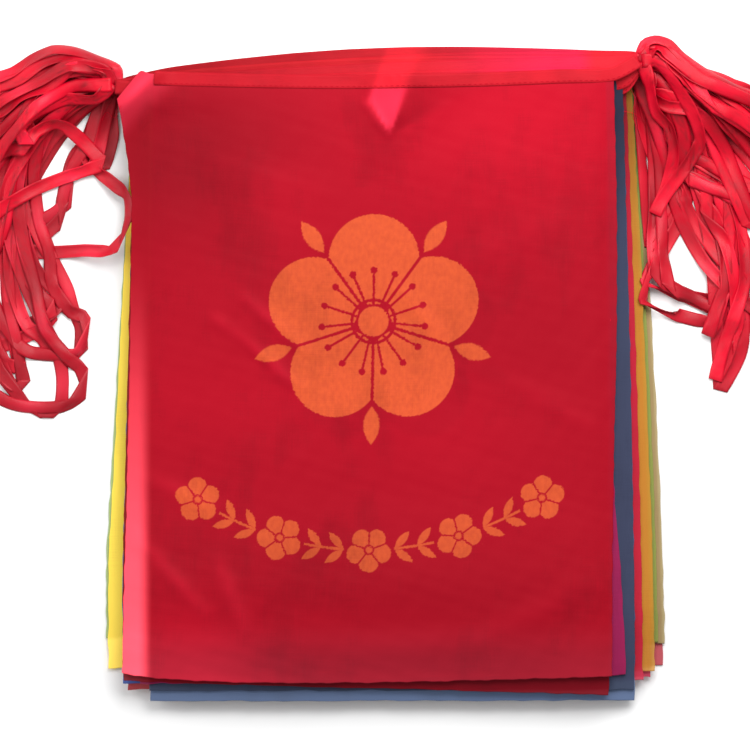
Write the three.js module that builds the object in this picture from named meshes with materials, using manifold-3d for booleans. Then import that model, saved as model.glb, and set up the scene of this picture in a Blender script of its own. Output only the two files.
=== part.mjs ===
import * as THREE from 'three';
import { mergeVertices } from 'three/addons/utils/BufferGeometryUtils.js';
import Module from 'manifold-3d';

// A string of cloth flags on one ribbon, zigzag folded into a flat pile, the ribbon between the flags
// bunched into a hank at each upper corner. Millimetres: the pile lies on z = 0, +X is the right side of
// the flags and +Y points to their heads.

const flagWidth = 280;
const headWidth = 276;
const cloth = 1;
const gap = 0.32;
const ribbonWidth = 8;
const ribbonThick = 1;

// The flags fan out at the foot: a border moved outwards there by one millimetre is moved this much at the
// head. Each side closes evenly between two shares of the way from the foot level to the head level.
const fan = {
  left: { shift: 0.2, from: 0.2, to: 0.9 },
  right: { shift: 0.45, from: 0, to: 1 },
};
const footLevel = -175;
const headLevel = 175;

// Slope at which cloth falls over the edges of the flags below it, and how far out that is looked for
const drapeSlope = 0.3;
const drapeReach = 70;

// One row for each flag, lowest first: middle of the foot in X, foot in Y with its swing in degrees, both
// ends of the head in Y, rise of the head between them, and the colour of the cloth
const flags = [
  { foot: 26.8, low: -168.0, swing: 0.0, headLeft: 173, headRight: 181, rise: 6, color: 0xa03c46 },
  { foot: 28.0, low: -155.3, swing: 0.0, headLeft: 173, headRight: 187, rise: 7, color: 0xa08c6e },
  { foot: 24.0, low: -155.0, swing: 0.2, headLeft: 173, headRight: 187, rise: 6.5, color: 0x91a064 },
  { foot: -15.6, low: -153.0, swing: -0.3, headLeft: 173, headRight: 188, rise: 8, color: 0xb4dc7d },
  { foot: 20.5, low: -169.7, swing: 0.1, headLeft: 173, headRight: 186, rise: 6, color: 0xd28c3c },
  { foot: -14.1, low: -169.7, swing: 0.0, headLeft: 172, headRight: 184, rise: 5, color: 0xebd750 },
  { foot: 19.3, low: -174.9, swing: 0.0, headLeft: 172, headRight: 183, rise: 3.5, color: 0xcd3c64 },
  { foot: 21.6, low: -171.0, swing: -0.1, headLeft: 172, headRight: 182, rise: 2.5, color: 0xe6c83c },
  { foot: 14.7, low: -176.7, swing: 0.0, headLeft: 171, headRight: 180, rise: 1.5, color: 0xc8324b },
  { foot: -2.6, low: -181.9, swing: 0.0, headLeft: 168, headRight: 175, rise: 0, color: 0xc8142d },
  { foot: -5.5, low: -177.8, swing: 0.2, headLeft: 170, headRight: 176, rise: 2, color: 0x3c64b4 },
  { foot: 10.1, low: -188.2, swing: 0.1, headLeft: 163, headRight: 170, rise: 0, color: 0x5a82c3 },
  { foot: 9.8, low: -182.0, swing: 0.1, headLeft: 168, headRight: 173, rise: 0, color: 0x3c4b82 },
  { foot: 4.5, low: -175.5, swing: 1.1, headLeft: 172, headRight: 184, rise: 2, color: 0xa52d64 },
  { foot: -5.2, low: -180.5, swing: -1.6, headLeft: 169, headRight: 177.5, rise: 1, color: 0xbe142d },
];

// Lines that the grids of all the flags share, so that neighbours in the pile bend alike. Those across X
// are given at the foot and fan with the flags, those across Y are level.
const linesX = [-140, -122, -70, 0, 70, 118, 136, 150];
const linesY = [-180, -166, -140, -80, 0, 80, 140, 158];
const lineClear = 5;

// The top flag: its edges, the corner that is tucked over the left hank, and its own finer lines
const top = {
  low: -173.5,
  left: -140.3,
  right: 136.6,
  headLeft: 175.2,
  headRight: 177,
  headSag: 3.4,
  bowLow: 5.5,
  bowHigh: 8.1,
  bowFrom: 101,
  cornerX: -148.4,
  cornerY: 158.8,
  ribbonFrom: -118,
  color: 0xcd192d,
};
const topLinesX = [-138, -128, -119, -102, -75, -40, -12, 2, 16, 32, 48, 75, 105, 126];
const topLinesY = [-155, -120, -70, -10, 45, 90, 118, 136, 147, 155];

// Soft folds of the top flag, each a ridge between two points with its height and half width
const folds = [
  { from: [4, 176], to: [-4, 157], height: 2.6, width: 7 },
  { from: [-4, 157], to: [9, 139], height: 2.2, width: 7 },
  { from: [9, 139], to: [46, 167], height: 1.8, width: 8 },
  { from: [-149, 156], to: [-128, 178], height: 3.0, width: 8 },
  { from: [-125, 95], to: [-40, 10], height: 1.2, width: 16 },
  { from: [70, 120], to: [120, -20], height: 1.0, width: 18 },
  { from: [-100, -40], to: [20, -130], height: 1.2, width: 18 },
];

// Each hank: where its ribbons gather, the line of its wound middle with the width and height there, and
// the route of each outer loop from the gathering point and back to it, lowest loop first
const hanks = {
  hank_left: {
    root: [-149.7, 166],
    toward: -1,
    core: [
      { at: [-149.7, 166], width: 10, height: 19 },
      { at: [-164, 166], width: 20, height: 18 },
      { at: [-188, 154], width: 36, height: 15 },
      { at: [-210, 122], width: 44, height: 11 },
      { at: [-219, 80], width: 38, height: 8 },
      { at: [-222, 38], width: 14, height: 5 },
    ],
    loops: [
      [[-159, 124], [-160, 114], [-145, 101], [-147, 79], [-162, 72], [-199, 71], [-212, 92], [-190, 140]],
      [[-176, 153], [-195, 107], [-183, 85], [-178, 101], [-156, 124], [-153, 146]],
      [[-196, 87], [-189, 32], [-188, -10], [-169, -8], [-175, 17], [-208, 65], [-199, 113]],
      [[-214, 107], [-219, 26], [-211, -20], [-191, -21], [-188, 20], [-204, 78], [-181, 130]],
      [[-210, 153], [-240, 78], [-240, 23], [-223, 43], [-191, 121]],
      [[-199, 176], [-242, 130], [-252, 81], [-228, 92], [-200, 141]],
      [[-186, 188], [-222, 178], [-252, 136], [-228, 130], [-193, 163]],
    ],
  },
  hank_right: {
    root: [151.7, 181],
    toward: 1,
    core: [
      { at: [151.7, 181], width: 10, height: 19 },
      { at: [166, 181], width: 20, height: 18 },
      { at: [186, 158], width: 38, height: 15 },
      { at: [204, 126], width: 46, height: 11 },
      { at: [213, 88], width: 38, height: 8 },
      { at: [219, 48], width: 14, height: 5 },
    ],
    loops: [
      [[160, 147], [166, 107], [176, 92], [163, 58], [164, 43], [195, 31], [208, 61], [188, 113]],
      [[159, 156], [166, 101], [173, 53], [196, 43], [216, 26], [204, 78], [182, 130]],
      [[169, 147], [196, 72], [198, -6], [208, -8], [214, 26], [210, 101], [182, 153]],
      [[171, 130], [188, 95], [214, 43], [245, -6], [252, 14], [225, 72], [199, 130]],
      [[182, 156], [216, 89], [240, 32], [216, 43], [191, 118]],
      [[191, 171], [231, 130], [248, 87], [228, 92], [199, 144]],
      [[182, 191], [222, 167], [252, 141], [231, 136], [196, 163]],
    ],
  },
};

const ribbonColor = 0xdc1e37;
const ribbonSteps = 24;
const ribbonFeelers = 4;
const edgeOn = THREE.MathUtils.degToRad(78);
const rankAtRoot = 2.1;
const rankAtTip = 0.9;
const coreSides = 14;
const coreSteps = 11;
const coreRidges = 5;
const coreRidgeDepth = 0.12;
const coreTwist = Math.PI;
const coreBase = 0.1;
const rootInset = 2;
const weldStep = 1 / 256;
const rootSpread = 1.9;

function mix(a, b, t) {
  return a + (b - a) * t;
}

// Height of what already lies at each place, kept on a raster that every new piece is laid on
const rasterStep = 1.5;
const rasterHalfX = 264;
const rasterHalfY = 210;
const rasterColumns = Math.round((2 * rasterHalfX) / rasterStep);
const rasterRows = Math.round((2 * rasterHalfY) / rasterStep);
const heap = new Float32Array(rasterColumns * rasterRows);

function rasterColumn(x) {
  return THREE.MathUtils.clamp(Math.floor((x + rasterHalfX) / rasterStep), 0, rasterColumns - 1);
}

function rasterRow(y) {
  return THREE.MathUtils.clamp(Math.floor((y + rasterHalfY) / rasterStep), 0, rasterRows - 1);
}

// Highest level at x, y of cones of the given slope that stand on everything within reach
function heapAround(x, y, slope, reach) {
  let level = 0;
  for (let row = rasterRow(y - reach); row <= rasterRow(y + reach); row++) {
    for (let column = rasterColumn(x - reach); column <= rasterColumn(x + reach); column++) {
      const dx = (column + 0.5) * rasterStep - rasterHalfX - x;
      const dy = (row + 0.5) * rasterStep - rasterHalfY - y;
      const away = Math.hypot(dx, dy);
      if (away <= reach) {
        level = Math.max(level, heap[row * rasterColumns + column] - slope * away);
      }
    }
  }
  return level;
}

// Visits each raster centre inside the triangle a, b, c with its shares of the three corners
function eachCentre(a, b, c, visit) {
  const area = (b.x - a.x) * (c.y - a.y) - (b.y - a.y) * (c.x - a.x);
  const lastRow = rasterRow(Math.max(a.y, b.y, c.y));
  const lastColumn = rasterColumn(Math.max(a.x, b.x, c.x));
  for (let row = rasterRow(Math.min(a.y, b.y, c.y)); row <= lastRow; row++) {
    for (let column = rasterColumn(Math.min(a.x, b.x, c.x)); column <= lastColumn; column++) {
      const x = (column + 0.5) * rasterStep - rasterHalfX - a.x;
      const y = (row + 0.5) * rasterStep - rasterHalfY - a.y;
      const shareB = (x * (c.y - a.y) - y * (c.x - a.x)) / area;
      const shareC = ((b.x - a.x) * y - (b.y - a.y) * x) / area;
      const shares = [1 - shareB - shareC, shareB, shareC];
      if (Math.min(...shares) >= 0) {
        visit(row * rasterColumns + column, shares);
      }
    }
  }
}

// Visits the two triangles of each cell of a grid. The upper face of a box is split from the lower left
// corner of its cells to the upper right one, the lower face the other way.
function eachTriangle(grid, upper, visit) {
  const stride = grid.columns + 1;
  for (let j = 0; j < grid.rows; j++) {
    for (let i = 0; i < grid.columns; i++) {
      const k = j * stride + i;
      if (upper) {
        visit([k, k + 1, k + stride + 1]);
        visit([k, k + stride + 1, k + stride]);
      } else {
        visit([k, k + 1, k + stride]);
        visit([k + 1, k + stride + 1, k + stride]);
      }
    }
  }
}

// Lays a grid on the heap. Its points start on the steepest fall of the cloth, then those around each
// place that would cut what lies below are lifted, at first by their shares and at last together.
function layGrid(grid) {
  const passes = 6;
  grid.points.forEach((p) => {
    p.z = heapAround(p.x, p.y, drapeSlope, drapeReach) + gap;
  });
  for (let pass = 1; pass <= passes; pass++) {
    const lift = new Float32Array(grid.points.length);
    eachTriangle(grid, false, (corners) => {
      const [a, b, c] = corners.map((k) => grid.points[k]);
      eachCentre(a, b, c, (cell, shares) => {
        const level = a.z * shares[0] + b.z * shares[1] + c.z * shares[2];
        const short = heap[cell] + gap - level;
        if (short > 0) {
          const spread = Math.hypot(...shares) ** 2;
          corners.forEach((k, n) => {
            const part = pass < passes ? shares[n] / spread : 1;
            lift[k] = Math.max(lift[k], short * part);
          });
        }
      });
    });
    grid.points.forEach((p, k) => {
      p.z += lift[k];
    });
  }
}

// Adds a laid grid to the heap with its thickness, and its rim once more at every cell that the rim touches
function heapGrid(grid, thick) {
  eachTriangle(grid, true, (corners) => {
    const [a, b, c] = corners.map((k) => grid.points[k]);
    eachCentre(a, b, c, (cell, shares) => {
      const level = a.z * shares[0] + b.z * shares[1] + c.z * shares[2] + thick;
      heap[cell] = Math.max(heap[cell], level);
    });
  });
  const stride = grid.columns + 1;
  const rim = [];
  for (let i = 0; i < grid.columns; i++) {
    rim.push([i, i + 1], [grid.rows * stride + i, grid.rows * stride + i + 1]);
  }
  for (let j = 0; j < grid.rows; j++) {
    rim.push([j * stride, (j + 1) * stride], [j * stride + grid.columns, (j + 1) * stride + grid.columns]);
  }
  rim.forEach(([first, last]) => {
    const a = grid.points[first];
    const b = grid.points[last];
    const steps = Math.ceil(Math.hypot(b.x - a.x, b.y - a.y) / (0.5 * rasterStep));
    for (let n = 0; n <= steps; n++) {
      const t = n / steps;
      const cell = rasterRow(mix(a.y, b.y, t)) * rasterColumns + rasterColumn(mix(a.x, b.x, t));
      heap[cell] = Math.max(heap[cell], mix(a.z, b.z, t) + thick);
    }
  });
}

// A sheet on a laid grid: a box whose segments follow the grid
function sheetGeometry(grid, thick) {
  const box = new THREE.BoxGeometry(1, 1, 1, grid.columns, grid.rows, 1);
  const position = box.attributes.position;
  for (let k = 0; k < position.count; k++) {
    const i = Math.round((position.getX(k) + 0.5) * grid.columns);
    const j = Math.round((position.getY(k) + 0.5) * grid.rows);
    const p = grid.points[j * (grid.columns + 1) + i];
    position.setXYZ(k, p.x, p.y, p.z + (position.getZ(k) + 0.5) * thick);
  }
  box.computeVertexNormals();
  return box;
}

const group = new THREE.Group();

function addMesh(name, geometry, color) {
  const material = new THREE.MeshStandardMaterial({ color, roughness: 0.7, metalness: 0 });
  const mesh = new THREE.Mesh(geometry, material);
  mesh.name = name;
  group.add(mesh);
}

// X of a flag's line at the height y: the line stands at footX at the foot and fans in towards the head
function fanX(footX, y) {
  const edge = flagWidth / 2;
  const sway = THREE.MathUtils.clamp(footX, -edge, edge);
  const side = footX < 0 ? fan.left : fan.right;
  const headX = sway * (headWidth / flagWidth) + (footX - sway) * side.shift;
  const share = (y - footLevel) / (headLevel - footLevel);
  return mix(footX, headX, THREE.MathUtils.clamp((share - side.from) / (side.to - side.from), 0, 1));
}

// Lines of one flag between two edges: the shared ones that stand clear of both
function linesBetween(lines, low, high) {
  return lines.filter((line) => line > low + lineClear && line < high - lineClear);
}

// A grid with a column for each foot X and the rows of Y that rowsOf gives there
function gridOf(columnsX, rowsOf) {
  const points = [];
  const rows = rowsOf(columnsX[0]).length - 1;
  for (let j = 0; j <= rows; j++) {
    columnsX.forEach((footX) => {
      const y = rowsOf(footX)[j];
      points.push({ x: fanX(footX, y), y, z: 0 });
    });
  }
  return { points, columns: columnsX.length - 1, rows };
}

function addFlag(flag, index) {
  const number = String(index + 1).padStart(2, '0');
  const left = flag.foot - flagWidth / 2;
  const right = flag.foot + flagWidth / 2;
  const slant = Math.tan(THREE.MathUtils.degToRad(flag.swing));
  const low = (footX) => flag.low + slant * (footX - flag.foot);
  const high = (footX) => {
    const u = (footX - left) / flagWidth;
    return mix(flag.headLeft, flag.headRight, u) + flag.rise * Math.sin(Math.PI * u);
  };
  const seam = (footX) => high(footX) - ribbonWidth - gap;
  const lowest = Math.max(low(left), low(right));
  const inner = linesBetween(linesY, lowest, Math.min(seam(left), seam(right)));
  const columnsX = [left, ...linesBetween(linesX, left, right), right];
  const flagGrid = gridOf(columnsX, (footX) => [low(footX), ...inner, seam(footX)]);
  const headLine = columnsX.map((footX) => ({ x: fanX(footX, high(footX)), y: high(footX) }));
  const headGrid = headRibbon(headLine, true);
  if (index > 0) {
    layGrid(flagGrid);
    layGrid(headGrid);
  }
  heapGrid(flagGrid, cloth);
  heapGrid(headGrid, ribbonThick);
  addMesh(`flag_${number}`, sheetGeometry(flagGrid, cloth), flag.color);
  addMesh(`header_${number}`, sheetGeometry(headGrid, ribbonThick), ribbonColor);
}

// The ribbon along a flag's head, carried on to where a hank gathers at each end that reaches one
function headRibbon(places, reachLeft) {
  const ends = Object.values(hanks).map((hank) => ({
    x: hank.root[0] - hank.toward * gap,
    y: hank.root[1] + ribbonWidth / 2,
  }));
  const line = reachLeft ? [ends[0], ...places, ends[1]] : [...places, ends[1]];
  const points = [];
  [ribbonWidth, 0].forEach((drop) => {
    line.forEach((place) => {
      points.push({ x: place.x, y: place.y - drop, z: 0 });
    });
  });
  return { points, columns: line.length - 1, rows: 1 };
}

// A ribbon that stands on its edge at both ends and in the middle of its route and lies flat between
function ribbonTilt(t) {
  return edgeOn * Math.cos(2 * Math.PI * t) ** 2;
}

// One loop of ribbon from the gathering point along its route and back, lying on what is under it; rank
// counts the loops from the lowest, which lie apart at the root and close together at the far end
function loopGeometry(hank, route, rank) {
  const start = hank.root[0] + hank.toward * rootInset;
  const ends = [-1, 1].map((side) => new THREE.Vector3(start, hank.root[1] + side * rootSpread, 0));
  const middle = route.map(([x, y]) => new THREE.Vector3(x, y, 0));
  const curve = new THREE.CatmullRomCurve3([ends[1], ...middle, ends[0]], false, 'centripetal');
  const step = curve.getLength() / ribbonSteps;
  const under = [];
  for (let n = 0; n <= ribbonSteps * ribbonFeelers; n++) {
    const t = n / (ribbonSteps * ribbonFeelers);
    const place = curve.getPointAt(t);
    const halfSpan = (ribbonWidth * Math.cos(ribbonTilt(t)) + ribbonThick) / 2;
    under.push(heapAround(place.x, place.y, 0, halfSpan + gap));
  }
  const stations = [];
  for (let n = 0; n <= ribbonSteps; n++) {
    const t = n / ribbonSteps;
    const tilt = ribbonTilt(t);
    const half = (ribbonWidth * Math.sin(tilt) + ribbonThick * Math.cos(tilt)) / 2;
    const held = under.map((level, m) => {
      const away = Math.max(0, Math.abs(m / ribbonFeelers - n) - 1) * step;
      return level - away;
    });
    const level = Math.max(...held);
    const near = Math.cos(Math.PI * t) ** 2;
    const place = curve.getPointAt(t);
    place.z = (level > 0 ? level + gap : 0) + half + rank * mix(rankAtTip, rankAtRoot, near);
    stations.push({ place, tilt, heading: curve.getTangentAt(t) });
  }
  const up = new THREE.Vector3(0, 0, 1);
  const box = new THREE.BoxGeometry(1, 1, 1, ribbonSteps, 1, 1);
  const position = box.attributes.position;
  for (let k = 0; k < position.count; k++) {
    const station = stations[Math.round((position.getX(k) + 0.5) * ribbonSteps)];
    const side = new THREE.Vector3().crossVectors(up, station.heading);
    const broad = side.clone().multiplyScalar(Math.cos(station.tilt));
    broad.addScaledVector(up, Math.sin(station.tilt));
    const thin = new THREE.Vector3().crossVectors(station.heading, broad);
    const point = station.place.clone();
    point.addScaledVector(broad, position.getY(k) * ribbonWidth);
    point.addScaledVector(thin, position.getZ(k) * ribbonThick);
    position.setXYZ(k, point.x, point.y, point.z);
  }
  return box;
}

// The wound middle of a hank: a flat-bottomed tube along its line with a few twisted ridges
function coreGeometry(core) {
  const line = core.map((row) => new THREE.Vector3(row.at[0], row.at[1], 0));
  const curve = new THREE.CatmullRomCurve3(line, false, 'centripetal');
  const tube = new THREE.CylinderGeometry(1, 1, 1, coreSides, coreSteps);
  const position = tube.attributes.position;
  for (let k = 0; k < position.count; k++) {
    const s = position.getY(k) + 0.5;
    const row = Math.min(core.length - 2, Math.floor(s * (core.length - 1)));
    const within = s * (core.length - 1) - row;
    const width = mix(core[row].width, core[row + 1].width, within);
    const height = mix(core[row].height, core[row + 1].height, within);
    const angle = Math.atan2(position.getX(k), position.getZ(k));
    const ridge = 1 + coreRidgeDepth * Math.cos(coreRidges * angle + coreTwist * s);
    const lift = position.getZ(k) * (position.getZ(k) > 0 ? ridge : coreBase);
    const place = curve.getPoint(s);
    const heading = curve.getTangent(s);
    const aside = position.getX(k) * ridge * 0.5 * width;
    const z = gap + (height * (lift + coreBase)) / (1 + coreBase);
    position.setXYZ(k, place.x + heading.y * aside, place.y - heading.x * aside, z);
  }
  return tube;
}

const wasm = await Module();
wasm.setup();

function solidOf(geometry) {
  geometry.deleteAttribute('normal');
  geometry.deleteAttribute('uv');
  const merged = mergeVertices(geometry, 1e-4);
  return new wasm.Manifold(
    new wasm.Mesh({
      numProp: 3,
      vertProperties: new Float32Array(merged.attributes.position.array),
      triVerts: new Uint32Array(merged.index.array),
    }),
  );
}

// Triangles of the shell that reaches highest: a pocket closed in between crossing ribbons is filled
function outerShell(points, triangles) {
  const owner = points.map((p, k) => k);
  const find = (k) => {
    let root = k;
    while (owner[root] !== root) {
      owner[root] = owner[owner[root]];
      root = owner[root];
    }
    return root;
  };
  triangles.forEach(([a, b, c]) => {
    owner[find(a)] = find(b);
    owner[find(b)] = find(c);
  });
  const highest = points.reduce((best, p, k) => (p.z > points[best].z ? k : best), 0);
  return triangles.filter(([a]) => find(a) === find(highest));
}

function addHank(name, hank) {
  let solid = solidOf(coreGeometry(hank.core));
  hank.loops.forEach((route, rank) => {
    solid = solid.add(solidOf(loopGeometry(hank, route, rank)));
  });
  const mesh = solid.getMesh();
  const points = [];
  const known = new Map();
  const welded = [];
  for (let k = 0; k < mesh.vertProperties.length; k += 3) {
    const point = new THREE.Vector3().fromArray(mesh.vertProperties, k).divideScalar(weldStep).round();
    const key = point.toArray().join();
    if (!known.has(key)) {
      known.set(key, points.length);
      points.push(point.multiplyScalar(weldStep));
    }
    welded.push(known.get(key));
  }
  const all = [];
  for (let k = 0; k < mesh.triVerts.length; k += 3) {
    const [a, b, c] = [0, 1, 2].map((n) => welded[mesh.triVerts[k + n]]);
    if (a !== b && b !== c && c !== a) {
      all.push([a, b, c]);
    }
  }
  const triangles = outerShell(points, all);
  triangles.forEach((corners) => {
    const [a, b, c] = corners.map((k) => points[k]);
    eachCentre(a, b, c, (cell, shares) => {
      const level = a.z * shares[0] + b.z * shares[1] + c.z * shares[2];
      heap[cell] = Math.max(heap[cell], level);
    });
    const cell = rasterRow(a.y) * rasterColumns + rasterColumn(a.x);
    heap[cell] = Math.max(heap[cell], a.z);
  });
  const geometry = new THREE.BufferGeometry();
  geometry.setFromPoints(points);
  geometry.setIndex(triangles.flat());
  geometry.computeVertexNormals();
  addMesh(name, geometry, ribbonColor);
}

// Height added at x, y by the soft folds of the top flag
function foldHeight(x, y) {
  let height = 0;
  folds.forEach((fold) => {
    const [dx, dy] = [fold.to[0] - fold.from[0], fold.to[1] - fold.from[1]];
    const along = ((x - fold.from[0]) * dx + (y - fold.from[1]) * dy) / (dx * dx + dy * dy);
    const t = THREE.MathUtils.clamp(along, 0, 1);
    const away = Math.hypot(x - fold.from[0] - t * dx, y - fold.from[1] - t * dy);
    height = Math.max(height, fold.height * Math.exp(-((away / fold.width) ** 2)));
  });
  return height;
}

function addTopFlag(number) {
  const high = (x) => {
    const u = (x - top.left) / (top.right - top.left);
    const head = mix(top.headLeft, top.headRight, u) - top.headSag * Math.sin(Math.PI * Math.max(0, u));
    return Math.min(head, top.cornerY + x - top.cornerX);
  };
  const leftEdge = (y) => {
    const below = Math.max(0, top.bowFrom - y) / (top.bowFrom - top.low);
    const above = Math.max(0, y - top.bowFrom) / (top.cornerY - top.bowFrom);
    return top.left - top.bowLow * below ** 1.5 - top.bowHigh * above ** 1.3;
  };
  const seam = (x) => high(x) - (x > top.ribbonFrom - ribbonWidth / 2 ? ribbonWidth + gap : 0);
  const points = [];
  const rowCount = topLinesY.length + 2;
  for (let j = 0; j < rowCount; j++) {
    [top.cornerX, ...topLinesX, top.right].forEach((x, i) => {
      const y = [top.low, ...topLinesY, seam(x)][j];
      points.push({ x: i === 0 ? leftEdge(y) : x, y, z: 0 });
    });
  }
  const flagGrid = { points, columns: topLinesX.length + 1, rows: rowCount - 1 };
  const headX = [top.ribbonFrom, ...topLinesX.filter((x) => x > top.ribbonFrom), top.right];
  const headGrid = headRibbon(headX.map((x) => ({ x, y: high(x) })), false);
  [flagGrid, headGrid].forEach((grid) => {
    layGrid(grid);
    grid.points.forEach((p) => {
      p.z += foldHeight(p.x, p.y);
    });
  });
  addMesh(`flag_${number}`, sheetGeometry(flagGrid, cloth), top.color);
  addMesh(`header_${number}`, sheetGeometry(headGrid, ribbonThick), ribbonColor);
}

flags.forEach(addFlag);
Object.entries(hanks).forEach(([name, hank]) => addHank(name, hank));
addTopFlag(flags.length + 1);

export default group;
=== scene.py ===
import bpy
import numpy as np
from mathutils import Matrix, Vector


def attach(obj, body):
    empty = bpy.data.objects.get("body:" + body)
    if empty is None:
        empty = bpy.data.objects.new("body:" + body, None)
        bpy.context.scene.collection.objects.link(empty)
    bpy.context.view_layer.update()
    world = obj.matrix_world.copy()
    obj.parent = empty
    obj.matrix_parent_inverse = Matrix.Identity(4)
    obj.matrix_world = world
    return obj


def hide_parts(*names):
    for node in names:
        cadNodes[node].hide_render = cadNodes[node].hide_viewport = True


# A string of cloth flags on one ribbon, zigzag folded into a flat pile, the ribbon between the flags
# bunched into a hank at each upper corner. Lengths in the tables are millimetres: +X is the right side of
# the flags, +Y points to their heads, and the pile lies on Z = 0.
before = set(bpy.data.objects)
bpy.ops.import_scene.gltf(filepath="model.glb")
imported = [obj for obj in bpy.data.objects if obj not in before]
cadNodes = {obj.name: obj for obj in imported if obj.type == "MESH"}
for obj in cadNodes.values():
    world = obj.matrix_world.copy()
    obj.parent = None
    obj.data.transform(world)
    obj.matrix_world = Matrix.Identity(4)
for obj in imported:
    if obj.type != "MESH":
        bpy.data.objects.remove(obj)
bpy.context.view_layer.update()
mm = 0.001
print("frame loaded,", len(cadNodes), "pieces")


def mix(a, b, t):
    return a + (b - a) * t


def smoothStep(t):
    t = np.clip(t, 0, 1)
    return t * t * (3 - 2 * t)


# Sum of a few sine waves over the plane, with seeded directions and lengths near the one given
def waves(x, y, length, count, seed):
    rng = np.random.default_rng(seed)
    angles = rng.uniform(0, 2 * np.pi, count)
    lengths = length * rng.uniform(0.6, 1.6, count)
    phases = rng.uniform(0, 2 * np.pi, count)
    total = 0
    for angle, size, phase in zip(angles, lengths, phases):
        total = total + np.sin((x * np.cos(angle) + y * np.sin(angle)) * 2 * np.pi / size + phase)
    return total / np.sqrt(count)


# Linear colour, with alpha, of a screen colour given as three numbers up to 255
def linear(colour):
    share = np.array(colour) / 255
    low = share / 12.92
    high = ((share + 0.055) / 1.055) ** 2.4
    return tuple(float(c) for c in np.where(share <= 0.04045, low, high)) + (1.0,)


# Quads of a grid of points, rows by columns, turned so that they face up
def gridFaces(rows, columns, first=0):
    k = first + np.arange(rows * columns).reshape(rows, columns)
    return np.stack([k[:-1, :-1], k[:-1, 1:], k[1:, 1:], k[1:, :-1]], -1).reshape(-1, 4)


# A mesh from points in millimetres, quads, a place on the flat cloth for each point, and colours at points
def meshObject(name, points, faces, flat=None, colours=None):
    mesh = bpy.data.meshes.new(name)
    mesh.from_pydata((points * mm).tolist(), [], faces.tolist())
    if len(faces):
        mesh.polygons.foreach_set("use_smooth", np.ones(len(faces), bool))
    if flat is not None:
        layer = mesh.uv_layers.new(name="cloth")
        layer.data.foreach_set("uv", (flat * mm)[faces.ravel()].astype(np.float32).ravel())
    for label, values in (colours or {}).items():
        mark = mesh.attributes.new(label, "FLOAT_COLOR", "POINT")
        full = np.concatenate([values, np.ones((len(values), 1))], 1)
        mark.data.foreach_set("color", full.astype(np.float32).ravel())
    obj = bpy.data.objects.new(name, mesh)
    bpy.context.scene.collection.objects.link(obj)
    return obj


# The same from grids of places, of their places on the flat cloth, and of colours
def gridObject(name, x, y, z, flatX, flatY, under, tone):
    points = np.stack([x, y, z], -1).reshape(-1, 3)
    flat = np.stack(np.broadcast_arrays(flatX, flatY), -1).reshape(-1, 2)
    colours = {"under": under.reshape(-1, 3), "tone": np.broadcast_to(tone, under.shape).reshape(-1, 3)}
    return meshObject(name, points, gridFaces(*x.shape), flat, colours)


# A piece with its thickness, its material and its place in the frame
def finishSheet(obj, thickness, material, slotName, *cadNames):
    obj.data.materials.append(material)
    solid = obj.modifiers.new("thickness", "SOLIDIFY")
    solid.thickness = thickness * mm
    solid.offset = 0
    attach(obj, "root")
    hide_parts(*cadNames)


# Height of the upper face of CAD solids under each place, found by dropping points on them from above;
# where there is nothing under a point it is not a number
def topOf(names, x, y):
    start = 100.0
    points = np.stack([x.ravel(), y.ravel(), np.full(x.size, start)], 1)
    best = np.full(x.size, np.nan)
    for name in names:
        probe = meshObject("probe", points, np.zeros((0, 4), int))
        drop = probe.modifiers.new("drop", "SHRINKWRAP")
        drop.wrap_method = "PROJECT"
        drop.use_project_z = True
        drop.use_negative_direction = True
        drop.use_positive_direction = False
        drop.target = cadNodes[name]
        bpy.context.view_layer.update()
        landed = probe.evaluated_get(bpy.context.evaluated_depsgraph_get()).data
        place = np.zeros(x.size * 3, np.float32)
        landed.vertices.foreach_get("co", place)
        height = place[2::3].astype(float) / mm
        best = np.fmax(best, np.where(height < start - 1, height, np.nan))
        used = probe.data
        bpy.data.objects.remove(probe)
        bpy.data.meshes.remove(used)
    return best.reshape(x.shape)


# Fills gaps in a field from the known values beside them, ring by ring
def fillGaps(field):
    while np.isnan(field).any():
        wide = np.pad(field, 1, constant_values=np.nan)
        around = np.stack([wide[:-2, 1:-1], wide[2:, 1:-1], wide[1:-1, :-2], wide[1:-1, 2:]])
        known = ~np.isnan(around)
        mean = np.where(known, around, 0).sum(0) / np.maximum(known.sum(0), 1)
        field = np.where(np.isnan(field) & known.any(0), mean, field)
    return field


# Softens a field on a grid: each pass mixes a value with its neighbours along columns, then along rows
def soften(field, passes):
    for _ in range(2 * passes):
        wide = np.pad(field, ((1, 1), (0, 0)), mode="edge")
        field = ((wide[:-2] + 2 * wide[1:-1] + wide[2:]) / 4).T
    return field


# A node of a material with some of its inputs, each linked to an output or set to a fixed value
def addNode(tree, kind, inputs):
    node = tree.nodes.new("ShaderNode" + kind)
    for name, value in inputs.items():
        put(node.inputs[name], value)
    return node


def put(socket, value):
    if isinstance(value, Field):
        value = value.socket
    if isinstance(value, bpy.types.NodeSocket):
        socket.id_data.links.new(value, socket)
    else:
        socket.default_value = value


# A number worked out by the nodes of a material, with the usual signs of arithmetic
class Field:
    def __init__(self, socket):
        self.socket = socket

    def by(self, operation, *others):
        node = self.socket.id_data.nodes.new("ShaderNodeMath")
        node.operation = operation
        for socket, value in zip(node.inputs, (self, *others)):
            put(socket, value)
        return Field(node.outputs["Value"])

    def __add__(self, other):
        return self.by("ADD", other)

    def __sub__(self, other):
        return self.by("SUBTRACT", other)

    def __rsub__(self, other):
        return (self - other) * -1.0

    def __mul__(self, other):
        return self.by("MULTIPLY", other)

    def __truediv__(self, other):
        return self.by("DIVIDE", other)

    def __abs__(self):
        return self.by("ABSOLUTE")


def distance(a, b):
    return (a * a + b * b).by("SQRT")


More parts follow.
